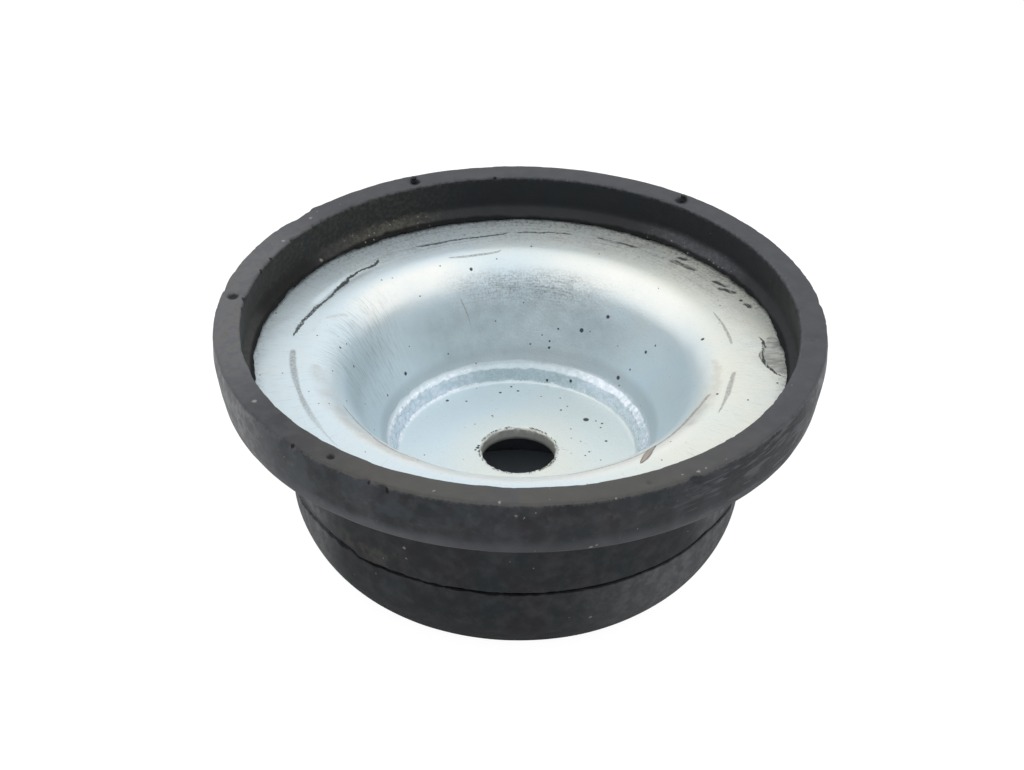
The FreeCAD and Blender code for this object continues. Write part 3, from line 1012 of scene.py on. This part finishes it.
# Shaded parts of the bowl: radii and angles, each with the softness of its ends, and how dark
BOWL_SHADES = (
    ((26.0, 31.4, 1.4), (46.0, 134.0, 16.0), 0.55),
    ((23.2, 25.6, 0.4), (58.0, 122.0, 14.0), 0.50),
    ((30.0, 32.4, 1.2), (150.0, 198.0, 10.0), 0.32),
)


def plating_tones(f, noise, colours):
    """Creamy right side, bluish bowl, painted highlights on the lip's bend and painted shade on the walls."""
    inside = f.radius.rise(38.5, 33.0)
    floor = f.radius.rise(23.6, 23.0)
    cream_side = f.angle.rise(125.0, 40.0) * f.angle.rise(-88.0, -45.0) * 0.9 + (noise.cloud - 0.5) * 0.8
    base = f.blend(cream_side.least(1.0).greatest(0.0), colours.zinc_blue, colours.zinc_cream)
    base = f.blend(inside * (1 - floor * 0.4) * (0.8 + (noise.cloud - 0.5) * 0.8), base, colours.zinc_deep)
    creamy_floor = (f.radius.rise(16.0, 9.0) + f.along.rise(4.0, -14.0)) * 0.45
    base = f.blend(creamy_floor * floor, base, colours.zinc_cream)
    # Painted highlights on the lip's bend at the far left and far right, and just inside the near lip
    fillet_highlight = f.radius.within(33.2, 38.4, 1.5)
    fillet_highlight *= f.angle.within(24.0, 78.0, 14.0) + f.angle.within(108.0, 152.0, 12.0)
    near_lip_highlight = f.radius.within(34.2, 39.0, 1.4) * f.along.rise(-14.0, -30.0)
    base = f.blend((fillet_highlight + near_lip_highlight) * (0.75 + (noise.cloud - 0.5) * 0.6), base, colours.zinc_bright)
    shade = functools.reduce(operator.add, (f.patch(radii, angles) * dark for radii, angles, dark in BOWL_SHADES))
    return f.blend(shade * (0.8 + (noise.blotch - 0.5) * 0.8), base, colours.zinc_shade)


def plating_dirt(f, noise):
    """Shares of dirt on the flange, the lip, the left wall and the plate's edge, and of fine dust."""
    far_side = f.angle.within(28.0, 138.0, 18.0)
    flange = f.radius.rise(40.0, 45.5) * far_side
    lip = f.patch((31.0, 34.6, 1.6), (64.0, 110.0, 14.0))
    left = f.patch((28.0, 38.0, 3.0), (142.0, 186.0, 10.0))
    edge = f.radius.rise(48.2, 50.6)
    mottle = noise.pepper.rise(0.44, 0.68)
    dusting = noise.powder.rise(0.36, 0.76)
    dirt = flange * (mottle * 0.32 + dusting * 0.14 + noise.rings.rise(0.45, 0.75) * 0.35
                     + noise.blotch.rise(0.4, 0.7) * 0.2)
    dirt += lip * (dusting * 0.55 + noise.strands.rise(0.4, 0.75) * 0.35 + noise.blotch.rise(0.35, 0.7) * 0.15)
    dirt += left * noise.hair.rise(0.45, 0.7) * 0.3
    dirt += edge * (0.1 + mottle * 0.35)
    dirt += noise.pepper.rise(0.58, 0.8) * 0.2
    dirt += noise.hair.rise(0.55, 0.75) * f.radius.rise(38.0, 43.0) * 0.14
    dirt += dusting * 0.05
    return dirt.least(0.85), dusting


def brown_stains(f, noise, base, colours):
    """Stains the lip over a colour. Returns the new colour, the stains' share and the gouge's black edge."""
    smear = f.strokes(LIP_SMEARS, noise.jags, 0.9) * (noise.blotch.rise(0.3, 0.65) * 0.6 + 0.3)
    base = f.blend(smear * 0.26, base, colours.rust_stain)
    stain = f.strokes(LIP_LINES, noise.jags * 0.3, 0.8) * (noise.pepper.rise(0.3, 0.6) * 0.5 + 0.5)
    gouge = f.stroke(GOUGE, noise.jags * 0.2, 0.3)
    stain = stain.greatest(gouge)
    base = f.blend(stain * 0.75, base, colours.rust_stain)
    bare = f.stroke(GOUGE_MIDDLE, noise.jags * 0.2, 0.4)
    return base, stain, (gouge - bare).greatest(0.0) * 0.7


def black_marks(f, noise, black):
    """Adds specks, dots, scrapes and the rubbed patch to a share of black."""
    black = black.greatest(f.specks(1.9, 0.16, 0.22, 8)).greatest(f.specks(3.1, 0.24, 0.2, 13))
    for dot in PLATE_DOTS:
        black = black.greatest(f.dot(*dot))
    crumbs = f.angle.rise(146.0, 152.0) * noise.powder.rise(0.50, 0.62)
    broken = f.angle.rise(80.0, 72.0) * noise.strands.rise(0.50, 0.42)
    scrape = f.strokes(FLANGE_SCRAPES, noise.jags, 0.4) * (1 - crumbs * 0.45) * (1 - broken * 0.5)
    black = black.greatest(scrape)
    stripes = f.noise(1.0, 1.0, 0.5, f.stretched(0.35, 1.0, 1.0), 18)
    patch = f.stroke(FLANGE_PATCH, noise.jags, 0.25)
    return black.greatest(patch * (0.32 + stripes.rise(0.42, 0.65) * 0.28))


def zinc_finish(colours):
    """Satin zinc plating with a bluish bowl, a creamy lip with painted highlights, painted shade in the bowl and its
    crease, painted glints on the step, dirt, black scrapes, dots and brown stains.
    """
    f = Finish("zinc plating")
    noise = SimpleNamespace(
        cloud=f.noise(7.0, 3.0, 0.55),
        pepper=f.noise(0.7, 3.0, 0.75, seed=3),
        powder=f.noise(0.42, 3.0, 0.8, seed=14),
        blotch=f.noise(2.6, 3.0, 0.6, seed=12),
        jags=(f.noise(0.6, 2.0, 0.6, seed=4) - 0.5) * 0.9 + (f.noise(3.0, 1.0, seed=5) - 0.5) * 0.9,
        hair=f.drawn(0.4, 4.0, 6),
        rings=f.drawn(14.0, 0.55, 7),
        strands=f.drawn(4.0, 0.4, 17),
    )
    base = plating_tones(f, noise, colours)
    dirt, dusting = plating_dirt(f, noise)
    base = f.blend(dirt, base, colours.grime)
    # Painted shade in the crease under the bowl's wall, in the dirt's grey
    crease = f.radius.within(25.2, 26.8, 0.5)
    base = f.blend(crease * 0.25, base, colours.grime)
    crinkle = f.radius.within(23.2, 25.3, 0.4)
    dimples = f.noise(1.1, 2.0, 0.6, seed=20)
    # Painted glints on the crinkled step, faint on its far side
    glint = crinkle * dimples.rise(0.38, 0.62) * (0.85 - f.angle.within(62.0, 118.0, 18.0) * 0.8)
    base = f.blend(glint, base, PAINTED_GLINT)

    base, stain, black = brown_stains(f, noise, base, colours)
    scuff = f.strokes(FLANGE_SCUFFS, noise.jags * 0.25, 0.5) * (0.36 + dusting * 0.5)
    scuff *= 1 - f.angle.rise(200.0, 212.0) * 0.55
    base = f.blend(scuff.least(0.85), base, colours.grime)
    black = black_marks(f, noise, black)
    base = f.blend(black * 0.94, base, colours.black_mark)
    bore = f.radius.rise(7.75, 7.45) * f.height.rise(17.2, 16.8)
    shear = f.noise(0.5, 2.0, place=f.stretched(1.0, 1.0, 0.12), seed=10)
    base = f.blend(bore * (0.45 + shear * 0.4), base, SHEARED_STEEL)

    rough_value = 0.29 + noise.cloud * 0.08 + dirt * 0.3 + black * 0.3 + bore * 0.15 - crinkle * 0.08
    metal = 0.5 - dirt * 0.25 - black * 0.5 - stain * 0.2 + crinkle * 0.15
    skin = f.noise(0.5, 3.0, 0.65, seed=11) * 0.5 + f.noise(1.0, 1.0, seed=21) * crinkle * 1.8
    normal = f.bump(skin, 0.4, 0.25)
    return f.surface(Base_Color=base, Roughness=rough_value, Metallic=metal, Normal=normal)


# Pale specks and small scars on the rubber: angle, radius, height, size
RUBBER_SPECKS = (
    (282.8, 56.5, 37.0, 0.40), (283.8, 56.6, 37.5, 0.22), (286.7, 57.5, 47.7, 0.26), (269.6, 57.7, 45.6, 0.24),
    (270.9, 57.7, 45.2, 0.18), (242.0, 43.7, 23.3, 0.32), (242.7, 43.7, 21.0, 0.22), (236.0, 43.7, 19.0, 0.18),
    (208.0, 43.3, 13.2, 0.40), (210.5, 43.0, 9.8, 0.26), (266.7, 57.0, 48.0, 0.28), (255.0, 56.0, 48.0, 0.20),
    (150.8, 53.7, 48.0, 0.34), (140.2, 54.8, 48.0, 0.30), (141.4, 51.3, 40.0, 0.38), (211.1, 55.2, 48.0, 0.45),
    (288.4, 42.7, 9.0, 0.3), (300.0, 56.0, 48.0, 0.2), (303.0, 56.6, 48.0, 0.3), (304.6, 56.5, 48.0, 0.22),
)

# Painted shade in pits: the torn vents, in front of the stubs, and the tears in the rim's edge: angle, radius,
# height, size
RUBBER_PITS = (
    (53.7, 54.7, 48.0, 1.40), (113.4, 54.9, 48.0, 1.05), (173.7, 55.0, 47.9, 1.15), (174.0, 52.7, 47.9, 0.6),
    (233.7, 55.0, 48.0, 0.90), (226.6, 57.3, 47.9, 0.55), (228.6, 57.4, 47.7, 0.4), (243.2, 57.4, 47.5, 0.6),
    (246.8, 57.5, 47.0, 0.7), (158.0, 52.7, 47.8, 0.4), (163.0, 52.6, 47.6, 0.5), (96.0, 52.6, 47.8, 0.4),
)


def rubber_zones(f):
    """Shares of the moulding's faces, edges and sides."""
    zone = SimpleNamespace()
    zone.top = f.height.rise(47.4, 47.7) * f.radius.rise(52.3, 52.6)
    zone.inner = f.radius.rise(52.8, 52.6) * f.height.rise(38.0, 38.6)
    zone.ledge = zone.inner * f.height.rise(42.6, 40.6)
    zone.outer = f.radius.rise(54.0, 56.0) * f.height.rise(47.8, 47.2)
    zone.low_edge = f.radius.rise(54.0, 55.4) * f.height.rise(40.2, 37.2)
    zone.top_edge = f.radius.within(57.2, 57.8, 0.15) * f.height.within(47.2, 47.9, 0.2)
    zone.inner_edge = f.radius.within(52.3, 52.9, 0.15) * f.height.rise(46.9, 47.5)
    zone.lower = f.height.rise(16.8, 15.8) * f.radius.rise(34.0, 38.0)
    zone.left = f.angle.within(182.0, 226.0, 12.0)
    zone.far_left = f.angle.within(146.0, 204.0, 14.0)
    zone.front = f.angle.within(232.0, 268.0, 14.0).greatest(f.angle.rise(-30.0, -75.0))
    return zone


def rubber_tones(f, noise, zone, colours):
    """Dark rubber, cooler in patches, with a black inner wall, a pocket lightened to grey as painted light, and a
    teal left side.
    """
    tinted = f.blend(noise.cloud.rise(0.4, 0.6), COOL_RUBBER, colours.rubber)
    base = f.blend(noise.patchy.rise(0.35, 0.75) * 0.3 * (1 - zone.inner), tinted, colours.rubber_bloom)
    base = f.blend(zone.inner * 0.45, base, INNER_RUBBER)
    # Painted light in the pocket under the plate, seen through the bore
    base = f.blend(f.radius.rise(24.0, 23.0), base, POCKET_PAINTED_LIGHT)
    teal = zone.outer * f.angle.within(190.0, 262.0, 14.0) * noise.cloud.rise(0.52, 0.60)
    return f.blend(teal * 0.5, base, TEAL_RUBBER)


def rubber_bloom(f, noise, zone):
    """Shares of grey bloom and of painted highlights on the rim's lower edge, its top edges, its outer side at the
    left and in streaks at the right, and of the sides of the neck and the lower body, painted lighter where they
    catch the light.
    """
    patchy, fine, slanted = noise.patchy, noise.fine, noise.slanted
    bloom_and_highlight = zone.top * (0.44 + patchy * 0.33 + zone.far_left * 0.28 - f.angle.within(208.0, 240.0, 12.0) * 0.25)
    bloom_and_highlight += zone.outer * noise.bands.rise(0.45, 0.75) * 0.3
    # Painted highlight along the rim's lower edge
    bloom_and_highlight += zone.low_edge * (0.22 + noise.bands * 0.45 + f.angle.within(226.0, 258.0, 12.0) * (0.2 + patchy * 0.4))
    # Painted light on the sides of the lower body and the neck at the left and the right
    sides = zone.lower * (f.angle.within(186.0, 216.0, 8.0) + f.angle.within(-66.0, 0.0, 18.0) * 0.7)
    neck = f.height.within(17.5, 31.0, 1.0) * f.radius.rise(41.0, 43.0)
    sides += neck * (f.angle.within(188.0, 216.0, 8.0) + f.angle.within(-38.0, -2.0, 8.0)) * 0.9
    bloom_and_highlight += sides * (0.35 + fine.rise(0.4, 0.7) * 0.4)
    # Painted highlights along the rim's outer and inner top edges, and painted sheen with lighter scuffs on the outer
    # side at the left
    bloom_and_highlight += zone.top_edge * fine.rise(0.4, 0.6) * 0.45
    bloom_and_highlight += zone.outer * zone.left * (0.55 + slanted.rise(0.5, 0.7) * 0.4)
    bloom_and_highlight += zone.inner_edge * fine.rise(0.45, 0.6) * 0.3
    # Painted highlight streaks on the outer side at the right
    right = zone.outer * f.angle.within(-58.0, -20.0, 10.0)
    streaks = f.noise(1.0, 2.0, 0.6, f.stretched(0.16, 0.16, 1.1), 19)
    bloom_and_highlight += right * streaks.rise(0.52, 0.66) * 0.8
    bloom_and_highlight += zone.ledge * (0.12 + f.angle.within(34.0, 58.0, 6.0) * (0.45 + fine.rise(0.4, 0.7) * 0.5))
    bloom_and_highlight += zone.outer * slanted.rise(0.58, 0.72) * 0.22
    return bloom_and_highlight.least(0.9), sides


def rubber_dust(f, noise, zone, olive):
    """Share of dust on the rim's top, its inner ledge and wall, and the neck."""
    dusty = zone.top * zone.front * (0.25 + noise.patchy * 0.4) + olive * (0.18 + noise.fine.rise(0.42, 0.62) * 0.7)
    dusty += zone.inner * f.angle.within(110.0, 204.0, 14.0) * (0.12 + noise.fine.rise(0.4, 0.7) * 0.3)
    dusty += zone.top * zone.far_left * noise.slanted.rise(0.5, 0.65) * 0.5
    neck = f.height.within(17.2, 20.5, 1.2) * f.angle.within(222.0, 240.0, 4.0)
    dusty += neck * noise.patchy.rise(0.35, 0.65) * 0.45
    return dusty


def rubber_dark(f, noise, zone):
    """Share of painted shade in the inner corner under the lip, the slit and the pits."""
    corner = f.radius.rise(51.3, 50.7)
    shadow = zone.ledge * f.angle.within(142.0, 168.0, 5.0) * (noise.fine * 0.6 + 0.5)
    crevice = zone.inner * corner.greatest(shadow)
    slit = f.radius.rise(43.0, 42.6) * f.height.within(14.0, 18.6, 0.2) * f.radius.rise(34.0, 38.0)
    return crevice.greatest(slit).greatest(f.spots(RUBBER_PITS, (noise.fine - 0.5) * 0.7))


def rubber_finish(colours):
    """Matt moulded rubber with bloom, painted highlights and painted shade, dust, pits, specks and soft smudges."""
    f = Finish("moulded rubber")
    noise = SimpleNamespace(
        cloud=f.noise(9.0, 3.0, 0.6),
        patchy=f.noise(3.0, 3.0, 0.6, seed=2),
        grain=f.noise(0.3, 2.0, 0.6, seed=3),
        fine=f.noise(0.9, 3.0, 0.7, seed=4),
        bands=f.drawn(7.0, 30.0, 9, 0.5),
        slanted=f.noise(2.2, 3.0, 0.65, seed=6),
    )
    zone = rubber_zones(f)
    base = rubber_tones(f, noise, zone, colours)
    bloom_and_highlight, sides = rubber_bloom(f, noise, zone)
    # Grey bloom, together with painted highlights and painted light on the sides
    base = f.blend(bloom_and_highlight, base, colours.rubber_bloom)
    # Painted sheen with lighter scuffs on the outer side at the left and the right, and painted light on the sides of
    # the neck and the lower body; paler also on the rim's top at the far left
    pale = zone.outer * (f.angle.within(176.0, 214.0, 10.0) + f.angle.within(-22.0, 6.0, 10.0) * 0.9)
    pale = pale + zone.top * zone.far_left * 0.35 + sides * 0.55
    base = f.blend(pale * (0.32 + noise.slanted.rise(0.4, 0.65) * 0.5), base, PALE_SHEEN_AND_SCUFFS)

    olive = zone.ledge * f.angle.within(113.0, 132.0, 6.0)
    dusty = rubber_dust(f, noise, zone, olive)
    base = f.blend(dusty.least(0.85), base, colours.dust)
    # Painted shade in the corner under the lip, in the slit and in the pits
    dark = rubber_dark(f, noise, zone)
    base = f.blend(dark * 0.85, base, CREVICE_SHADE)
    fleck = f.specks(2.2, 0.12, 0.22, 8) * (1 - zone.inner * 0.5)
    fleck = fleck.greatest((olive + zone.ledge * f.angle.within(34.0, 58.0, 6.0)) * f.specks(0.8, 0.16, 0.35, 14))
    fleck = fleck.greatest(f.spots(RUBBER_SPECKS, (noise.grain - 0.5) * 0.9))
    base = f.blend(fleck * 0.55, base, FLECK)

    rough_value = 0.50 + noise.patchy * 0.2 + dusty * 0.25 + (noise.bands - 0.5) * zone.outer * 0.2 + dark * 0.3
    normal = f.bump(noise.grain * 0.2 + noise.fine * 0.5, 0.45, 0.25)
    return f.surface(Base_Color=base, Roughness=rough_value, Specular_IOR_Level=0.35, Normal=normal)


def burr_finish(colours):
    """Torn steel grains, brown and pale."""
    f = Finish("torn steel")
    base = f.blend(f.noise(0.5, 1.0).rise(0.48, 0.62), colours.burr, colours.zinc_cream)
    return f.surface(Base_Color=base, Roughness=0.5, Metallic=0.3)


# Pieces

def settings():
    """The mount's settings."""
    return bpy.context.scene.shock_mount


def face_out(mesh):
    """Merges doubles and turns every face of a closed mesh outwards."""
    shell = bmesh.new()
    shell.from_mesh(mesh)
    bmesh.ops.remove_doubles(shell, verts=shell.verts, dist=WELD_DISTANCE)
    bmesh.ops.recalc_face_normals(shell, faces=shell.faces)
    shell.to_mesh(mesh)
    shell.free()


def finished(name, mesh, slot, *nodes):
    """Object of a closed mesh that rides on the part and stands for CAD nodes, whose parts it hides. The slot is not
    used.
    """
    face_out(mesh)
    piece = bpy.data.objects.new(name, mesh)
    bpy.context.scene.collection.objects.link(piece)
    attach(piece, "root")
    if nodes:
        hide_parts(*nodes)


def material_named(name, make):
    """A finish by name, made once."""
    return bpy.data.materials.get(name) or make(settings().colours)


class MOUNT_OT_rubber(bpy.types.Operator):
    """Turns the rubber moulding and shapes its edges, slit and nicks"""
    bl_idname = "shock_mount.rubber"
    bl_label = "Rubber moulding"

    def execute(self, context):
        sizes = settings().rubber
        rubber = material_named("moulded rubber", rubber_finish)
        section = rubber_section(sizes, settings().plate)
        mesh = turned_piece("rubber_moulding", section, sizes.turns, sizes.skin_wave, sizes.skin_wave_size,
                            sizes.seed, rubber)
        shape_rubber(mesh, sizes, settings().trim)
        finished("rubber_moulding", mesh, "rubber", "rubber_body")
        return {"FINISHED"}


class MOUNT_OT_plate(bpy.types.Operator):
    """Turns the dished plate and shapes its crinkled step, bowl and bore edge"""
    bl_idname = "shock_mount.plate"
    bl_label = "Dished plate"

    def execute(self, context):
        sizes = settings().plate
        zinc = material_named("zinc plating", zinc_finish)
        mesh = turned_piece("plated_dish", plate_section(sizes), sizes.turns, sizes.flange_wave,
                            sizes.flange_wave_size, sizes.seed, zinc)
        shape_plate(mesh)
        finished("plated_dish", mesh, "plated_steel", "dished_plate")
        return {"FINISHED"}


class MOUNT_OT_stubs(bpy.types.Operator):
    """Stands the torn stubs of the moulding vents on the rim"""
    bl_idname = "shock_mount.stubs"
    bl_label = "Vent stubs"

    def execute(self, context):
        trim = settings().trim
        rubber = material_named("moulded rubber", rubber_finish)
        mesh = grown("vent_stubs", stub_tree(), Places=trim.vents, Stubs=trim.stubs, First=trim.first_vent,
                     Circle=trim.vent_circle + STUB_OUTSET, Level=RIM_LEVEL - trim.stub_height,
                     Stub_Radius=trim.stub_radius, Stub_Height=trim.stub_height * 2, Seed=trim.seed, Material=rubber)
        finished("vent_stubs", mesh, "rubber")
        return {"FINISHED"}


class MOUNT_OT_burrs(bpy.types.Operator):
    """Strews the torn grains round the punched bore"""
    bl_idname = "shock_mount.burrs"
    bl_label = "Bore burrs"

    def execute(self, context):
        trim = settings().trim
        steel = material_named("torn steel", burr_finish)
        mesh = grown("bore_burrs", burr_tree(), Count=trim.burr_places, Circle=BORE_RADIUS + BURR_OUTSET,
                     Level=PLATE_FLOOR, Size=trim.burr_size, Seed=trim.seed, Material=steel)
        finished("bore_burrs", mesh, "plated_steel")
        return {"FINISHED"}


class MOUNT_OT_stage(bpy.types.Operator):
    """Sets the floor, the studio light and the camera"""
    bl_idname = "shock_mount.stage"
    bl_label = "Stage"

    def execute(self, context):
        build_floor()
        build_world()
        build_camera()
        context.scene.view_settings.view_transform = "Standard"
        return {"FINISHED"}


# Stage

CAMERA_PLACE = Vector((-1.284, -377.235, 295.235)) * MM
CAMERA_TILT = math.radians(34.863)
CAMERA_ROLL = math.radians(0.77)
CAMERA_LENS = 84.375
CAMERA_SENSOR = 36
CAMERA_NEAR = 0.01
CAMERA_SHIFT = -0.8 / 1024
FLOOR_HALF = 4.0
FLOOR_GREY = 0.80
FLOOR_SHADE = 0.14
FLOOR_GLOW = 0.95
FLOOR_SINK = 0.02 * MM
SHADE_EDGE = (30.0, 33.0)
POCKET_EDGE = (25.0, 23.0)


def build_floor():
    """White floor that keeps the part's shadow and is dark under the part, with painted shade, darker and bluer,
    where it is seen through the bore.
    """
    f = Finish("studio floor")
    open_floor = f.radius.rise(*SHADE_EDGE)
    seen = f.node("ShaderNodeLightPath", output="Is Camera Ray")
    # Painted shade: the floor under the bore is darker and bluer
    ground = f.blend(f.radius.rise(*POCKET_EDGE), (FLOOR_GREY,) * 3, tuple(settings().colours.pocket_dark))
    lit = f.node("ShaderNodeBsdfDiffuse", None, ground)
    faint = f.node("ShaderNodeBsdfDiffuse", None, Color=(FLOOR_SHADE,) * 3)
    glow = f.node("ShaderNodeEmission", None, Color=tuple(settings().colours.backdrop), Strength=FLOOR_GLOW)
    both = f.node("ShaderNodeAddShader", None, faint, glow)
    mixed = f.node("ShaderNodeMixShader", None, open_floor * seen, lit, both)
    f.node("ShaderNodeOutputMaterial", None, mixed)
    mesh = bpy.data.meshes.new("floor")
    half = FLOOR_HALF
    mesh.from_pydata([(-half, -half, 0), (half, -half, 0), (half, half, 0), (-half, half, 0)], [], [(0, 1, 2, 3)])
    mesh.materials.append(f.material)
    floor = bpy.data.objects.new("floor", mesh)
    bpy.context.scene.collection.objects.link(floor)
    floor.location.z = -FLOOR_SINK


# Light of the tent: level near the horizon, level overhead, where it rises, and how much the back is dimmer
TENT_LOW = 0.30
TENT_HIGH = 1.20
TENT_RISE = (0.12, 0.52)
TENT_LEAN = 0.15
BACK_RISE = (0.2, 0.85)
BACK_DIMMER = 0.10
TENT_TINT = (0.975, 0.99, 1.0, 1.0)


def build_world():
    """Soft tent of light: bright overhead and at the sides, dark low down, white where the camera looks."""
    world = bpy.data.worlds.new("tent")
    bpy.context.scene.world = world
    world.use_nodes = True
    f = Finish("tent", world.node_tree)
    direction = f.node("ShaderNodeTexCoord", output="Generated")
    back = f.node("ShaderNodeSeparateXYZ", None, direction, output="Y")
    above = f.node("ShaderNodeSeparateXYZ", None, direction, output="Z")
    level = (above + back * TENT_LEAN).rise(*TENT_RISE) * (TENT_HIGH - TENT_LOW) + TENT_LOW
    level = level * (1 - back.rise(*BACK_RISE) * BACK_DIMMER)
    tent = f.node("ShaderNodeBackground", None, TENT_TINT, level)
    white = f.node("ShaderNodeBackground", None, (1, 1, 1, 1), 1.0)
    seen = f.node("ShaderNodeLightPath", output="Is Camera Ray")
    f.node("ShaderNodeOutputWorld", None, f.node("ShaderNodeMixShader", None, seen, tent, white))


def build_camera():
    """Camera at the photograph's place, tilt and roll."""
    forward = Vector((0, math.cos(CAMERA_TILT), -math.sin(CAMERA_TILT)))
    right = Vector((1, 0, 0))
    above = Vector((0, math.sin(CAMERA_TILT), math.cos(CAMERA_TILT)))
    rolled_right = right * math.cos(CAMERA_ROLL) + above * math.sin(CAMERA_ROLL)
    rolled_above = above * math.cos(CAMERA_ROLL) - right * math.sin(CAMERA_ROLL)
    camera = bpy.data.cameras.new("camera")
    camera.lens = CAMERA_LENS
    camera.sensor_width = CAMERA_SENSOR
    camera.sensor_fit = "HORIZONTAL"
    camera.shift_x = CAMERA_SHIFT
    camera.clip_start = CAMERA_NEAR
    holder = bpy.data.objects.new("camera", camera)
    bpy.context.scene.collection.objects.link(holder)
    axes = Matrix((rolled_right, rolled_above, -forward)).transposed().to_4x4()
    holder.matrix_world = Matrix.Translation(CAMERA_PLACE) @ axes
    bpy.context.scene.camera = holder


class MOUNT_PT_panel(bpy.types.Panel):
    """Lists the steps and the sizes of the mount"""
    bl_idname = "MOUNT_PT_panel"
    bl_label = "Shock absorber mount"
    bl_space_type = "VIEW_3D"
    bl_region_type = "UI"
    bl_category = "Mount"

    def draw(self, context):
        layout = self.layout
        for step in STEPS:
            layout.operator(step.bl_idname)
        for group in (settings().rubber, settings().plate, settings().trim, settings().colours):
            box = layout.box()
            for key in group.bl_rna.properties.keys():
                if key not in ("rna_type", "name"):
                    box.prop(group, key)


STEPS = (MOUNT_OT_rubber, MOUNT_OT_plate, MOUNT_OT_stubs, MOUNT_OT_burrs, MOUNT_OT_stage)
CLASSES = (RubberSizes, PlateSizes, TrimSizes, MountColours, MountSettings) + STEPS + (MOUNT_PT_panel,)


def register():
    """Registers the classes and the settings."""
    for kind in CLASSES:
        bpy.utils.register_class(kind)
    bpy.types.Scene.shock_mount = PointerProperty(type=MountSettings)


def unregister():
    """Takes the settings and the classes away."""
    del bpy.types.Scene.shock_mount
    for kind in reversed(CLASSES):
        bpy.utils.unregister_class(kind)


def main():
    """Makes every piece."""
    register()
    for step in STEPS:
        getattr(bpy.ops.shock_mount, step.bl_idname.split(".")[1])()


if __name__ == "__main__":
    main()
